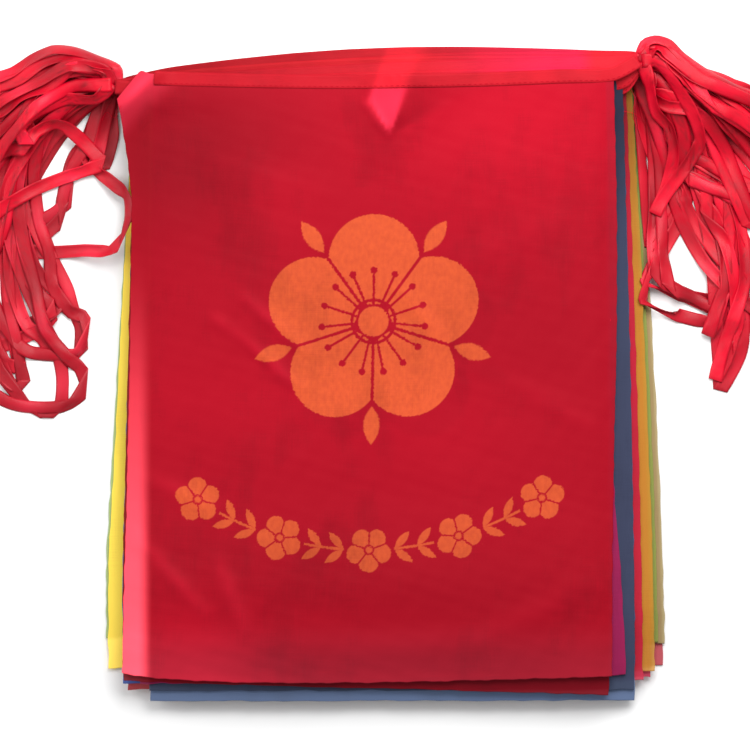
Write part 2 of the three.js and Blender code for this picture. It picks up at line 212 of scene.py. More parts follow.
# The X and the Y of a place
def twoOf(place):
    split = addNode(place.id_data, "SeparateXYZ", {"Vector": place})
    return Field(split.outputs["X"]), Field(split.outputs["Y"])


def blend(tree, kind, share, a, b):
    node = tree.nodes.new("ShaderNodeMix")
    node.data_type = "RGBA"
    node.blend_type = kind
    colours = [socket for socket in node.inputs if socket.type == "RGBA"]
    put(node.inputs["Factor"], share)
    put(colours[0], a)
    put(colours[1], b)
    return [socket for socket in node.outputs if socket.type == "RGBA"][0]


# Cloudy noise from low to high over a place, drawn out along its axes by stretch
def cloud(place, scale, low, high, stretch=(1, 1, 1), detail=2.0, turn=0.0):
    tree = place.id_data
    turned = addNode(tree, "Mapping", {"Scale": stretch, "Rotation": (0, 0, turn), "Vector": place})
    noise = addNode(tree, "TexNoise", {
        "Scale": scale, "Detail": detail, "Vector": turned.outputs["Vector"],
    })
    span = addNode(tree, "MapRange", {
        "From Min": 0.3, "From Max": 0.7, "To Min": low, "To Max": high, "Value": noise.outputs["Fac"],
    })
    return Field(span.outputs["Result"])


# Share of a mark that is inside where the depth is above zero, with a soft rim
def inside(depth, rim=0.0004):
    node = depth.socket.id_data.nodes.new("ShaderNodeMapRange")
    node.interpolation_type = "SMOOTHSTEP"
    put(node.inputs["From Min"], -rim)
    put(node.inputs["From Max"], rim)
    put(node.inputs["Value"], depth)
    return Field(node.outputs["Result"])


# Parts of a blossom as shares of its reach, but for stamen and bead, which go by the width of its lines
blossomForm = {
    "petalOut": 0.58, "petalRound": 0.42, "ring": 0.2, "stamenEnd": 0.46, "beadOut": 0.48, "eye": 0.14,
    "stamenWide": 0.8, "beadWide": 2.2,
}


# A round blossom at a place: each petal is a circle set out from the middle, two petals are parted by a thin
# line, and an eye with a ring and fine stamens is left open in the middle
def blossom(x, y, reach, petals, line, stamens):
    b = blossomForm
    far = distance(x, y)
    turn = x.by("ARCTAN2", y)
    away = turn.by("PINGPONG", np.pi / petals)
    along = far * away.by("COSINE") - reach * b["petalOut"]
    shape = reach * b["petalRound"] - distance(along, far * away.by("SINE"))
    shape = shape.by("MINIMUM", far * (np.pi / petals - away).by("SINE") - line)
    shape = shape.by("MINIMUM", abs(far - reach * b["ring"]) - line)
    if stamens:
        aside = far * turn.by("PINGPONG", np.pi / (3 * petals)).by("SINE")
        stamen = (aside - line * b["stamenWide"]).by("MAXIMUM", far - reach * b["stamenEnd"])
        bead = distance(aside, far - reach * b["beadOut"]) - line * b["beadWide"]
        shape = shape.by("MINIMUM", stamen).by("MINIMUM", bead)
    return shape.by("MAXIMUM", reach * b["eye"] - far)


def leaf(along, aside):
    return 1.0 - along * along - abs(aside)


# The festive print, a generic one: a large blossom with a leaf between its petals, and below it a hanging
# garland of leaf pairs and five small blossoms. Places are on the flat cloth, from its middle.
printing = {
    "blossomY": 34.0, "blossomReach": 62.0, "petals": 5, "line": 0.9, "bigLeafOut": 0.97, "bigLeafLong": 11.0,
    "bigLeafWide": 4.6, "bigLeafRim": 3.0,
    "garlandY": 92.0, "garlandReach": 190.0, "garlandHalf": 104.0, "leafPitch": 13.0, "leafLong": 6.4,
    "leafWide": 2.3, "leafLean": 0.75, "leafOut": 4.6, "stem": 0.7, "smallReach": 13.0, "smallLine": 0.45,
    "smallClear": 1.5, "light": (196, 78, 42), "dark": (184, 70, 40), "rough": 0.35, "ghostRim": 3.0,
    "ghostShift": (-9.0, 12.0), "ghostTint": (0.62, 0.7, 0.7, 1), "ghost": 0.16,
}


def printMask(flat, withGarland):
    p = {key: value * mm if isinstance(value, float) else value for key, value in printing.items()}
    lean = printing["leafLean"]
    shake = cloud(flat, 700.0, -p["rough"], p["rough"])
    x, y = (part + shake for part in twoOf(flat))
    high = y - p["blossomY"]
    mark = blossom(x, high, p["blossomReach"], p["petals"], p["line"], True)
    half = np.pi / p["petals"]
    aside = distance(x, high) * (x.by("ARCTAN2", high) + half).by("PINGPONG", half).by("SINE")
    along = distance(x, high) - p["blossomReach"] * printing["bigLeafOut"]
    bigLeaf = leaf(along / p["bigLeafLong"], aside / p["bigLeafWide"])
    mark = mark.by("MAXIMUM", bigLeaf * p["bigLeafRim"])
    if not withGarland:
        return inside(mark, p["ghostRim"])
    drop = p["garlandY"] - y
    out = distance(x, drop) - p["garlandReach"]
    side = abs(x.by("ARCTAN2", drop)) * p["garlandReach"]
    cell = side.by("MODULO", p["leafPitch"]) - p["leafPitch"] / 2
    rise = abs(out) - p["leafOut"]
    along = cell * float(np.cos(lean)) + rise * float(np.sin(lean))
    aside = rise * float(np.cos(lean)) - cell * float(np.sin(lean))
    leaves = leaf(along / p["leafLong"], aside / p["leafWide"]) * p["leafWide"]
    sprig = (p["stem"] - abs(out)).by("MAXIMUM", leaves).by("MINIMUM", p["garlandHalf"] - side)
    for step in range(3):
        fromMiddle = side - step * p["garlandHalf"] / 2
        small = blossom(fromMiddle, out, p["smallReach"], p["petals"], p["smallLine"], False)
        mark = mark.by("MAXIMUM", small)
        sprig = sprig.by("MINIMUM", distance(fromMiddle, out) - (p["smallReach"] + p["smallClear"]))
    return inside(mark.by("MAXIMUM", sprig))


# A material, its tree, a place on its flat cloth and a place in space
def startMaterial(name):
    material = bpy.data.materials.new(name)
    material.use_nodes = True
    tree = material.node_tree
    flat = addNode(tree, "UVMap", {}).outputs["UV"]
    return material, tree, flat, addNode(tree, "TexCoord", {}).outputs["Object"]


# A colour kept at the points of the mesh
def keptColour(tree, name):
    node = addNode(tree, "Attribute", {})
    node.attribute_name = name
    return node.outputs["Color"]


def grey(tree, value):
    return blend(tree, "MIX", value, (0, 0, 0, 1), (1, 1, 1, 1))


# What lies under a cloth shines through it: the colour kept at the points, times a share of the cloth's
# colour and some plain light through the open weave
def throughLight(tree, own, look):
    gain = tuple(look["through"] * mix(c, 1.0, look["open"]) for c in own[:3]) + (1.0,)
    return blend(tree, "MULTIPLY", 1.0, keptColour(tree, "under"), gain)


def finishMaterial(material, colour, height, look, shine):
    shader = material.node_tree.nodes["Principled BSDF"]
    bump = addNode(material.node_tree, "Bump", {
        "Strength": look["bump"], "Distance": look["deep"] * mm, "Height": height,
    })
    values = {
        "Base Color": colour, "Normal": bump.outputs["Normal"], "Roughness": look["roughness"],
        "Specular IOR Level": shine, "Sheen Weight": look["sheen"], "Sheen Roughness": 0.4,
    }
    for name, value in values.items():
        put(shader.inputs[name], value)
    return material


# Thin woven polyester. Its own colour gets cloudy and thread-wise variation, and a tone kept at the points
# paints light and shade on parts of it, making them lighter or darker. The bump is a plain weave, a sine
# across times a sine along.
weaving = {
    "pitch": 0.46, "bump": 0.3, "deep": 0.05, "cloudSize": 26.0, "streakSize": 60.0, "through": 0.8,
    "open": 0.1, "roughness": 0.6, "sheen": 0.01, "shine": 0.07, "inkSize": 420.0,
}


def clothMaterial(name, colour, printed):
    w = weaving
    material, tree, flat, place = startMaterial(name)
    own = linear(colour)
    clouds = cloud(place, w["cloudSize"], 0.84, 1.16, stretch=(1, 0.7, 1), detail=4.0)
    streaks = cloud(place, w["streakSize"], 0.89, 1.11, stretch=(1, 0.3, 1), detail=3.0, turn=-0.8)
    warp = cloud(flat, 1.0, 0.95, 1.05, stretch=(1900, 70, 1))
    weft = cloud(flat, 1.0, 0.95, 1.05, stretch=(60, 1700, 1))
    vary = grey(tree, clouds * streaks * (warp * weft))
    base = blend(tree, "MULTIPLY", 1.0, own, vary)
    base = blend(tree, "ADD", 1.0, base, throughLight(tree, own, w))
    if printed:
        p = printing
        shift = [length * mm for length in p["ghostShift"]] + [0]
        moved = addNode(tree, "Mapping", {"Location": shift, "Vector": flat})
        ghost = printMask(moved.outputs["Vector"], False) * p["ghost"]
        base = blend(tree, "MULTIPLY", ghost, base, p["ghostTint"])
        spots = cloud(flat, w["inkSize"], 0.0, 1.0, stretch=(1, 0.6, 1), detail=3.0)
        ink = blend(tree, "MIX", spots, linear(p["light"]), linear(p["dark"]))
        ink = blend(tree, "MULTIPLY", 1.0, ink, vary)
        base = blend(tree, "MIX", printMask(flat, True), base, ink)
    base = blend(tree, "MULTIPLY", 1.0, base, keptColour(tree, "tone"))
    rate = 2 * np.pi / (w["pitch"] * mm)
    x, y = twoOf(flat)
    return finishMaterial(material, base, (x * rate).by("SINE") * (y * rate).by("SINE"), w, w["shine"])


# The narrow satin ribbon: fine lengthwise ribs across its width, a little cloudy along it, and a tone kept at
# the points that holds painted light, shade and highlights on the bands and hanks. It shines more in the
# hanks than where it lies flat.
ribbonLook = {
    "colour": (182, 2, 31), "ribs": 0.62, "bump": 0.35, "deep": 0.06, "roughness": 0.38, "sheen": 0.0,
    "through": 0.3, "open": 0.1, "shine": {"band": 0.03, "thread": 0.03, "hank": 0.2},
}


def ribbonMaterial(name):
    r = ribbonLook
    material, tree, flat, place = startMaterial(name + "_ribbon")
    own = linear(r["colour"])
    vary = cloud(place, 40.0, 0.86, 1.1, detail=3.0) * cloud(flat, 1.0, 0.92, 1.06, stretch=(2600, 120, 1))
    base = blend(tree, "MULTIPLY", 1.0, own, grey(tree, vary))
    base = blend(tree, "MULTIPLY", 1.0, base, keptColour(tree, "tone"))
    base = blend(tree, "ADD", 1.0, base, throughLight(tree, own, r))
    rib = (twoOf(flat)[0] * (2 * np.pi / (r["ribs"] * mm))).by("SINE")
    return finishMaterial(material, base, rib, r, r["shine"][name])


# The pile. Each flag moved sideways at the foot moves only a part of that at the head, so the pile fans out.
pile = {
    "flagWidth": 280.0, "flagLength": 350.0, "headWidth": 276.0, "foot": -175.0, "head": 175.0,
    "fan": {
        "left": {"shift": 0.2, "from": 0.2, "to": 0.9, "power": 1.0},
        "right": {"shift": 0.45, "from": 0.0, "to": 1.0, "power": 1.5},
    },
    "cloth": 0.34, "cadCloth": 1.0, "ribbonWidth": 8.0, "ribbon": 0.26, "tuck": 1.6, "layerGap": 0.04,
    "columns": 64, "rows": 80, "drawnIn": 0.994, "headShade": 0.45, "shadeFrom": 60.0, "shadeOver": 90.0,
    "leanFrom": 0.42, "floorShade": 0.82, "opacity": 0.55,
}
# Cloth colours. The khaki cloth is a green cloth and the dark red cloth a crimson one, each with painted
# shade in its colour
clothColours = {
    "dark_red_cloth": (140, 32, 46), "khaki_cloth": (128, 112, 70), "green_cloth": (116, 130, 60),
    "pale_green_cloth": (122, 140, 84), "orange_cloth": (160, 98, 28), "yellow_cloth": (224, 194, 64),
    "gold_cloth": (158, 112, 38), "pink_cloth": (164, 22, 60), "crimson_cloth": (158, 14, 50),
    "red_cloth": (142, 1, 20), "blue_cloth": (40, 70, 138), "light_blue_cloth": (54, 74, 108),
    "dark_blue_cloth": (50, 58, 78), "magenta_cloth": (146, 26, 74),
}
# How much a cloth hides of what lies under it, where it differs from the others
opacities = {
    "dark_blue_cloth": 0.85, "light_blue_cloth": 0.8, "blue_cloth": 0.4, "red_cloth": 0.4,
    "magenta_cloth": 0.4,
}
# Each flag below the top one, from the lowest: X of its middle and Y of its lower edge at the foot, the
# swing of that edge in degrees, Y of its head at the left and right and the rise between them, how far its
# right border leans in, its tone, lower on the last of them as painted shade, and its slot
flagKeys = ("foot", "low", "swing", "headLeft", "headRight", "rise", "lean", "tone", "slot")
flagTable = [
    (26.8, -168.0, 0.0, 173, 181, 6, 0.0, 1.0, "dark_red_cloth"),
    (28.0, -155.3, 0.0, 173, 187, 7, 0.0, 1.0, "khaki_cloth"),
    (24.0, -155.0, 0.2, 173, 187, 6.5, 0.0, 1.0, "green_cloth"),
    (-15.6, -153.0, -0.3, 173, 188, 8, 0.0, 1.0, "pale_green_cloth"),
    (20.5, -169.7, 0.1, 173, 186, 6, 0.0, 1.0, "orange_cloth"),
    (-14.1, -169.7, 0.0, 172, 184, 5, 0.0, 1.0, "yellow_cloth"),
    (19.3, -174.9, 0.0, 172, 183, 3.5, 0.0, 1.0, "pink_cloth"),
    (21.6, -171.0, -0.1, 172, 182, 2.5, 0.0, 1.0, "gold_cloth"),
    (14.7, -176.7, 0.0, 171, 180, 1.5, 0.0, 1.0, "crimson_cloth"),
    (-2.6, -181.9, 0.0, 168, 175, 0, 0.0, 1.0, "red_cloth"),
    (-5.5, -177.8, 0.2, 170, 176, 2, 0.0, 1.0, "blue_cloth"),
    (10.1, -188.2, 0.1, 163, 170, 0, 0.0, 1.0, "light_blue_cloth"),
    (9.8, -182.0, 0.1, 168, 173, 0, 0.0, 1.0, "dark_blue_cloth"),
    (4.5, -175.5, 1.1, 172, 184, 2, 7.0, 1.0, "magenta_cloth"),
    (-5.2, -180.5, -1.6, 169, 177.5, 1, 0.0, 0.62, "red_cloth"),
]
flagRows = [dict(zip(flagKeys, row)) for row in flagTable]
topFlag = {
    "low": -171.4, "lowSag": 5.2, "lowLean": 2.3, "left": -140.3, "right": 136.4, "rightBow": 3.0,
    "rightBowAt": 60.0, "rightBowOver": 110.0, "headLeft": 175.2, "headRight": 177.0, "headSag": 3.4,
    "bowLow": 5.5, "bowHigh": 8.1, "bowFrom": 101.0, "cornerX": -148.4, "cornerY": 158.8,
    "ribbonFrom": -127.0, "middle": (-5.0, 2.0), "drawnIn": 0.993, "slot": "red_cloth", "columns": 176,
    "rows": 224,
}


# X of a flag's line at the height y, from its place at the foot to its place at the head
def fanX(footX, y):
    edge = pile["flagWidth"] / 2
    sway = np.clip(footX, -edge, edge)
    share = (y - pile["foot"]) / (pile["head"] - pile["foot"])
    lines = []
    for side in (pile["fan"]["left"], pile["fan"]["right"]):
        headX = sway * pile["headWidth"] / pile["flagWidth"] + (footX - sway) * side["shift"]
        part = np.clip((share - side["from"]) / (side["to"] - side["from"]), 0, 1) ** side["power"]
        lines.append(mix(footX, headX, part))
    return np.where(footX < 0, *lines)


# X of a flag's own line at the share u of its width; a lean draws the right border in above the foot
def acrossX(row, u, y):
    share = (y - pile["foot"]) / (pile["head"] - pile["foot"])
    drawn = smoothStep(share / pile["leanFrom"]) * np.clip(u, 0, 1) ** 6
    return fanX(row["foot"] + (u - 0.5) * pile["flagWidth"], y) - row["lean"] * drawn


def lowEdge(row, u):
    return row["low"] + np.tan(np.radians(row["swing"])) * (u - 0.5) * pile["flagWidth"]


def headEdge(row, u):
    return mix(row["headLeft"], row["headRight"], u) + row["rise"] * np.sin(np.pi * np.clip(u, 0, 1))


# Even steps from 0 to 1 drawn together at both ends, with one more line close to each end
def edgedSteps(count, pull=0.75, rim=0.0016):
    t = np.linspace(0, 1, count)
    t = t - pull * np.sin(2 * np.pi * t) / (2 * np.pi)
    return np.sort(np.concatenate([t, [rim, 1 - rim]]))


# Colour that lies under each place, of the flags below the one with this index: every flag lets part of what
# is under it through, and the floor is pale
def colourUnder(index, x, y):
    colour = np.full(x.shape + (3,), pile["floorShade"])
    for row in flagRows[:index]:
        left, right = acrossX(row, 0.0, y), acrossX(row, 1.0, y)
        u = (x - left) / (right - left)
        clear = np.minimum(x - left, right - x)
        clear = np.minimum(clear, np.minimum(y - lowEdge(row, u), headEdge(row, u) - y))
        cover = opacities.get(row["slot"], pile["opacity"]) * smoothStep(clear / 1.2 + 0.5)[..., None]
        colour = mix(colour, np.array(linear(clothColours[row["slot"]])[:3]), cover)
    return colour


# Waves that all layers of the pile share, so that they keep clear of one another
def pileWaves(x, y):
    return 0.12 * waves(x, y, 62, 6, 200) + 0.06 * waves(x, y, 27, 6, 201)


# Shares u and v of places on a flag, v ending at the upper border of its cloth
def sharesOn(index, x, y):
    if index < len(flagRows):
        row = flagRows[index]
        left, right = acrossX(row, 0.0, y), acrossX(row, 1.0, y)
        u = (x - left) / (right - left)
        low, high = lowEdge(row, u), headEdge(row, u) - pile["tuck"]
    else:
        u = (x - topFlag["cornerX"]) / (topFlag["right"] - topFlag["cornerX"])
        low, high = topFlag["low"], topHead(x) - pile["tuck"]
    return u, (y - low) / (high - low)


# Height of a laid cloth at its own shares u and v, read from its grid
def onCloth(index, u, v):
    us, vs, z = clothGrids[index]
    column = np.interp(u, us, np.arange(len(us)))
    line = np.interp(v, vs, np.arange(len(vs)))
    c = np.minimum(column.astype(int), len(us) - 2)
    r = np.minimum(line.astype(int), len(vs) - 2)
    low = mix(z[r, c], z[r, c + 1], column - c)
    high = mix(z[r + 1, c], z[r + 1, c + 1], column - c)
    return mix(low, high, line - r)


# Lifts a laid piece clear of every cloth with a lower number, and of the ribbon at its head
def clearOfBelow(index, x, y, z, thickness):
    for lower in range(index):
        u, v = sharesOn(lower, x, y)
        within = (u > -0.004) & (u < 1.004) & (v > -0.004) & (v < 1.006)
        ribbonZone = smoothStep((v * pile["flagLength"] - pile["flagLength"] + pile["ribbonWidth"] + 2) / 2)
        need = onCloth(lower, np.clip(u, 0, 1), np.clip(v, 0, 1)) + (pile["cloth"] + thickness) / 2
        need = need + pile["layerGap"] + ribbonZone * (pile["ribbon"] + 0.1)
        z = np.where(within, np.maximum(z, need), z)
    return z


# Height of the middle of a flag's CAD solid, softened. The places are drawn in towards the middle of the
# flag, so that its edges meet the solid too.
def cadHeight(index, x, y, middle, drawnIn, passes):
    names = [f"flag_{index + 1:02d}", f"header_{index + 1:02d}"]
    inward = [mid + (places - mid) * drawnIn for mid, places in zip(middle, (x, y))]
    return soften(fillGaps(topOf(names, *inward)), passes) - pile["cadCloth"] / 2


# Makes a laid flag from its grid, its shares of width and length, and its colours
def layFlag(index, x, y, z, u, v, under, tone, material, slotName):
    clothGrids[index] = (u[0], v[:, 0], z)
    number = f"{index + 1:02d}"
    flatX, flatY = (u - 0.5) * pile["flagWidth"], (v - 0.5) * pile["flagLength"]
    obj = gridObject("cloth_" + number, x, y, z, flatX, flatY, under, tone[..., None])
    finishSheet(obj, pile["cloth"], material, slotName, "flag_" + number)
    below = [] if index == 0 else [f"cloth_{index:02d}"]


# A flag of the pile: a grid between its edges. Its height is that of its CAD solid, softened, and it has
# waves of its own that grow towards the free edges.
def flagSheet(index, row):
    u, v = np.meshgrid(edgedSteps(pile["columns"]), edgedSteps(pile["rows"]))
    y = mix(lowEdge(row, u), headEdge(row, u) - pile["tuck"], v)
    x = acrossX(row, u, y)
    fray = 0.3 * waves(x, y, 14, 5, 100 + index)
    x = x + fray * (np.abs(u - 0.5) * 2) ** 6
    y = y + fray * (1 - v) ** 12
    middle = (row["foot"] * 0.7, (y.min() + y.max()) / 2)
    z = cadHeight(index, x, y, middle, pile["drawnIn"], 5) + pileWaves(x, y)
    edge = np.maximum(np.abs(u - 0.5), np.abs(v - 0.5)) * 2
    z = z + 0.1 * edge**10 * waves(x, y, 30, 6, 210 + index)
    z = clearOfBelow(index, x, y, np.maximum(z, pile["cloth"] * 0.6), pile["cloth"])
    # Painted shade: the lower flags get darker towards their heads on the right, where the hank shades them
    shaded = smoothStep((y - pile["shadeFrom"]) / pile["shadeOver"]) * (x > 0)
    tone = row["tone"] - pile["headShade"] * shaded
    layFlag(index, x, y, z, u, v, colourUnder(index, x, y), tone, clothMaterials[row["slot"]], row["slot"])


# Painted light through the free left border of the top flag: deep red above and bright below, and a painted
# highlight along its tucked corner
glows = {
    "high": {"right": -131.0, "soft": 5.0, "colour": (0.16, 0.02, 0.04)},
    "low": {"top": 80.0, "fade": 240.0, "right": -137.0, "soft": 9.0, "colour": (3.3, 1.1, 1.5)},
    "corner": {"from": 1.0, "fade": 21.0, "colour": (1.4, 0.3, 0.55)},
}
# Painted light on top of that: light through its foot, and painted highlights on its crease crests and on the
# lit side of its pinch; and how these and the dark side of the pinch change its tone, as painted highlight
# and shade
paintedGleams = {"foot": (0.0, 0.1, 0.14), "crease": (0.5, 0.1, 0.18), "pinch": (0.8, 0.16, 0.34)}
topPaintedLight = {"lit": 0.16, "dark": 0.2, "crest": 0.45, "crestHigh": 2.4, "footFrom": -138.0, "footOver": 32.0}
# Patches of painted light and shade on the top flag: middle, reach along X and Y, and level
paintedLightAndShade = [
    ((-112, 126), (70, 50), -0.32), ((88, 150), (90, 50), 0.33), ((-55, 101), (28, 24), 0.14),
    ((-50, -14), (130, 26), 0.1), ((-107, -172), (42, 28), 0.5), ((60, -130), (75, 34), -0.1),
    ((130, -168), (32, 14), 0.14), ((92, 20), (50, 50), -0.07), ((40, -40), (46, 30), 0.08),
    ((-40, -112), (60, 26), -0.1),
]
# The top flag's creases, each a soft ridge or trough between two places, with its height and half width
creases = [
    ((-145, 155), (-127, 174), 1.8, 4.0), ((-4, 156), (8, 139), 1.5, 3.0), ((3, 181), (-4, 156), 0.9, 3.0),
    ((6, 178), (10, 168), 0.9, 2.2), ((14, 177), (15, 166), 0.8, 2.0), ((-91, 32), (-42, -8), 1.1, 4.0),
    ((-74, 44), (-40, 14), 1.0, 4.0), ((-84, 26), (-62, 4), -0.5, 3.5), ((14, 50), (40, 20), 0.8, 5.0),
    ((-136, -94), (-98, -136), 0.9, 5.0), ((-128, -60), (-92, -78), 0.8, 6.0),
    ((-90, -108), (-74, -146), 0.9, 6.0), ((82, -6), (126, -30), 0.45, 6.0),
    ((52, 66), (110, 92), 0.4, 9.0), ((-110, 128), (-40, 108), 0.4, 10.0),
    ((60, -150), (126, -120), 0.5, 8.0), ((-20, -158), (60, -150), 0.4, 9.0),
]
# The gathered pinch under the head: a cone that widens up from its tip, steep on its right side
pinch = {
    "tip": (8.7, 137.5), "left": -0.60, "crest": 0.30, "right": 1.02, "height": 4.6, "reach": 38.0,
    "wallFoot": (-4.3, 157.0), "wallTop": (4.0, 184.0), "wallWidth": 4.0, "near": 9.0, "fadeFrom": 24.0,
    "fadeOver": 16.0,
}


def creaseHeight(x, y):
    total = 0.0
    for (x0, y0), (x1, y1), height, width in creases:
        dx, dy = x1 - x0, y1 - y0
        t = np.clip(((x - x0) * dx + (y - y0) * dy) / (dx * dx + dy * dy), 0, 1)
        away = np.hypot(x - x0 - t * dx, y - y0 - t * dy)
        total = total + height * np.sin(np.pi * mix(0.2, 0.8, t)) * np.exp(-((away / width) ** 2))
    return total


# Height of the pinch, and how far each place belongs to its lit left side and to its dark right side
def pinchParts(x, y):
    p = pinch
    out = np.hypot(x - p["tip"][0], y - p["tip"][1])
    turn = np.arctan2(x - p["tip"][0], y - p["tip"][1])
    rise = smoothStep((turn - p["left"]) / (p["crest"] - p["left"]))
    fall = smoothStep((p["right"] - turn) / (p["right"] - p["crest"]))
    (x0, y0), (x1, y1) = p["wallFoot"], p["wallTop"]
    beside = ((x - x0) * (y1 - y0) - (y - y0) * (x1 - x0)) / np.hypot(x1 - x0, y1 - y0)
    wall = np.where(y > y0, smoothStep(beside / p["wallWidth"] + 0.3), 1)
    height = p["height"] * np.minimum(out / p["reach"], 1.1) * np.minimum(rise, fall) * wall
    near = smoothStep(out / p["near"]) * wall * (1 - 0.5 * smoothStep((out - p["fadeFrom"]) / p["fadeOver"]))
    lit = smoothStep((turn - p["left"]) / 0.16) * (1 - smoothStep((turn - p["crest"] + 0.08) / 0.2))
    dark = smoothStep((turn - p["crest"]) / 0.2) * (1 - smoothStep((turn - p["right"] + 0.1) / 0.25))
    return height, lit * near, dark * near


def topHead(x):
    t = topFlag
    u = (x - t["left"]) / (t["right"] - t["left"])
    head = mix(t["headLeft"], t["headRight"], u) - t["headSag"] * np.sin(np.pi * np.clip(u, 0, 1))
    return np.minimum(head, t["cornerY"] + x - t["cornerX"])


# Colour under the top flag with the light through it, and its tone, which holds painted light and shade
def topColours(x, y, crumpled, lit, dark):
    t = topFlag
    under = colourUnder(len(flagRows), x, y)
    low, corner = glows["low"], glows["corner"]
    share = {}
    for name in ("high", "low"):
        share[name] = 1 - smoothStep((x - glows[name]["right"]) / glows[name]["soft"])
    share["low"] = share["low"] * smoothStep((low["top"] - y) / low["fade"])
    inward = (x - y - t["cornerX"] + t["cornerY"]) / np.sqrt(2)
    share["corner"] = 1 - smoothStep((inward - corner["from"]) / corner["fade"])
    for name, glow in glows.items():
        under = mix(under, np.array(glow["colour"]), share[name][..., None])
    # Painted highlights on the crease crests and on the lit side of the pinch, and light through the foot
    crest = np.clip(crumpled / topPaintedLight["crestHigh"], 0, 1) ** 1.5
    foot = smoothStep((topPaintedLight["footFrom"] - y) / topPaintedLight["footOver"])
    parts = {"foot": foot, "crease": crest, "pinch": lit}
    for name, part in parts.items():
        under = under + part[..., None] * np.array(paintedGleams[name])
    tone = 1 + topPaintedLight["lit"] * lit - topPaintedLight["dark"] * dark + topPaintedLight["crest"] * crest
    for (middleX, middleY), (reachX, reachY), level in paintedLightAndShade:
        tone = tone + level * np.exp(-(((x - middleX) / reachX) ** 2 + ((y - middleY) / reachY) ** 2))
    return under, tone


# The top flag: its left edge bows out to the foot and to the tucked corner, its foot sags left of the middle
def topSheet():
    t = topFlag
    index = len(flagRows)
    u, v = np.meshgrid(edgedSteps(t["columns"], 0.15), edgedSteps(t["rows"], 0.15))
    headX = mix(t["cornerX"], t["right"], u)
    footSag = t["lowSag"] * np.sin(np.pi * u ** 0.62) + t["lowLean"] * u
    onRibbon = smoothStep((headX - t["ribbonFrom"]) / 4 + 1)
    y = mix(t["low"] - footSag, topHead(headX) - pile["tuck"] * onRibbon, v)
    below = np.maximum(0, t["bowFrom"] - y) / (t["bowFrom"] - t["low"])
    above = np.maximum(0, y - t["bowFrom"]) / (t["cornerY"] - t["bowFrom"])
    leftX = t["left"] - t["bowLow"] * below ** 1.5 - t["bowHigh"] * above ** 1.3
    rightX = t["right"] + t["rightBow"] * np.exp(-(((y - t["rightBowAt"]) / t["rightBowOver"]) ** 2))
    x = mix(leftX, rightX, u)
    fray = 0.22 * waves(x, y, 11, 6, 90)
    x = x + fray * (np.abs(u - 0.5) * 2) ** 40
    y = y + fray * (1 - v) ** 40
    z = cadHeight(index, x, y, t["middle"], t["drawnIn"], 14)
    z = clearOfBelow(index, x, y, z + pileWaves(x, y), pile["cloth"])
    crumpled = creaseHeight(x, y)
    pinched, lit, dark = pinchParts(x, y)
    z = z + 1.25 * crumpled + pinched + 0.08 * waves(x, y, 16, 7, 301) + 0.035 * waves(x, y, 8, 8, 302)
    under, tone = topColours(x, y, crumpled, lit, dark)
    layFlag(index, x, y, z, u, v, under, tone, clothMaterials["printed"], t["slot"])


def unit(vectors):
    return vectors / np.maximum(np.linalg.norm(vectors, axis=-1, keepdims=True), 1e-9)


def leftOf(heading):
    return np.stack([-heading[..., 1], heading[..., 0]], -1)


# How far along a line each of its places is
def farAlong(line):
    return np.concatenate([[0], np.cumsum(np.linalg.norm(np.diff(line, axis=0), axis=1))])


def placesAt(at, far, line):
    return np.stack([np.interp(at, far, line[:, k]) for k in range(line.shape[1])], 1)


# A smooth line through a few places, in even steps: cubic pieces whose slope at each place is the chord
# slopes on both sides, weighted by the square roots of the chord lengths. The less ease, the straighter it
# runs between the places.
def smoothLine(places, step, ease=1.0):
    p = np.array(places, float)
    if len(p) == 2:
        count = max(2, int(round(np.hypot(*(p[1] - p[0])[:2]) / step)))
        return mix(p[0], p[1], np.linspace(0, 1, count + 1)[:, None])
    d = np.maximum(np.linalg.norm(np.diff(p, axis=0), axis=1), 1e-6) ** 0.5
    chord = np.diff(p, axis=0) / d[:, None]
    inner = (chord[:-1] * d[1:, None] + chord[1:] * d[:-1, None]) / (d[:-1] + d[1:])[:, None]
    slope = np.vstack([1.5 * chord[:1] - 0.5 * inner[:1], inner * ease, 1.5 * chord[-1:] - 0.5 * inner[-1:]])
    t = np.linspace(0, 1, 24, endpoint=False)[None, :, None]
    a, b = p[:-1, None], p[1:, None]
    ma, mb = (slope[:-1] * d[:, None])[:, None], (slope[1:] * d[:, None])[:, None]
    curve = (2 * t**3 - 3 * t**2 + 1) * a + (t**3 - 2 * t**2 + t) * ma
    curve = curve + (3 * t**2 - 2 * t**3) * b + (t**3 - t**2) * mb
    line = np.vstack([curve.reshape(-1, p.shape[1]), p[-1:]])
    far = farAlong(line)
    return placesAt(np.linspace(0, far[-1], max(2, int(round(far[-1] / step))) + 1), far, line)


# Ends of the header ribbons, where the hanks gather
roots = {"left": (-149.38, 166.0), "right": (151.38, 181.0)}
# Looks of the ribbons along the heads. Painted light makes them lighter towards the right and those of the
# lower flags more pink there, the pinch paints light and shade on them, and those of the lower flags vary by
# threes. Green and blue are multiples of the tone, as the ribbon itself has little.
bands = {
    "step": 1.6, "ease": 0.6, "over": 7.0, "lift": 0.05, "backing": 0.15, "topPaintedLight": (0.84, 1.015),
    "tone": 0.66, "toneStep": 0.07, "toneSpread": (0.96, 1.66), "lit": 0.5, "dark": 0.15,
    "green": 18.0, "blue": 1.5, "paintedPinkLight": 1.5,
}


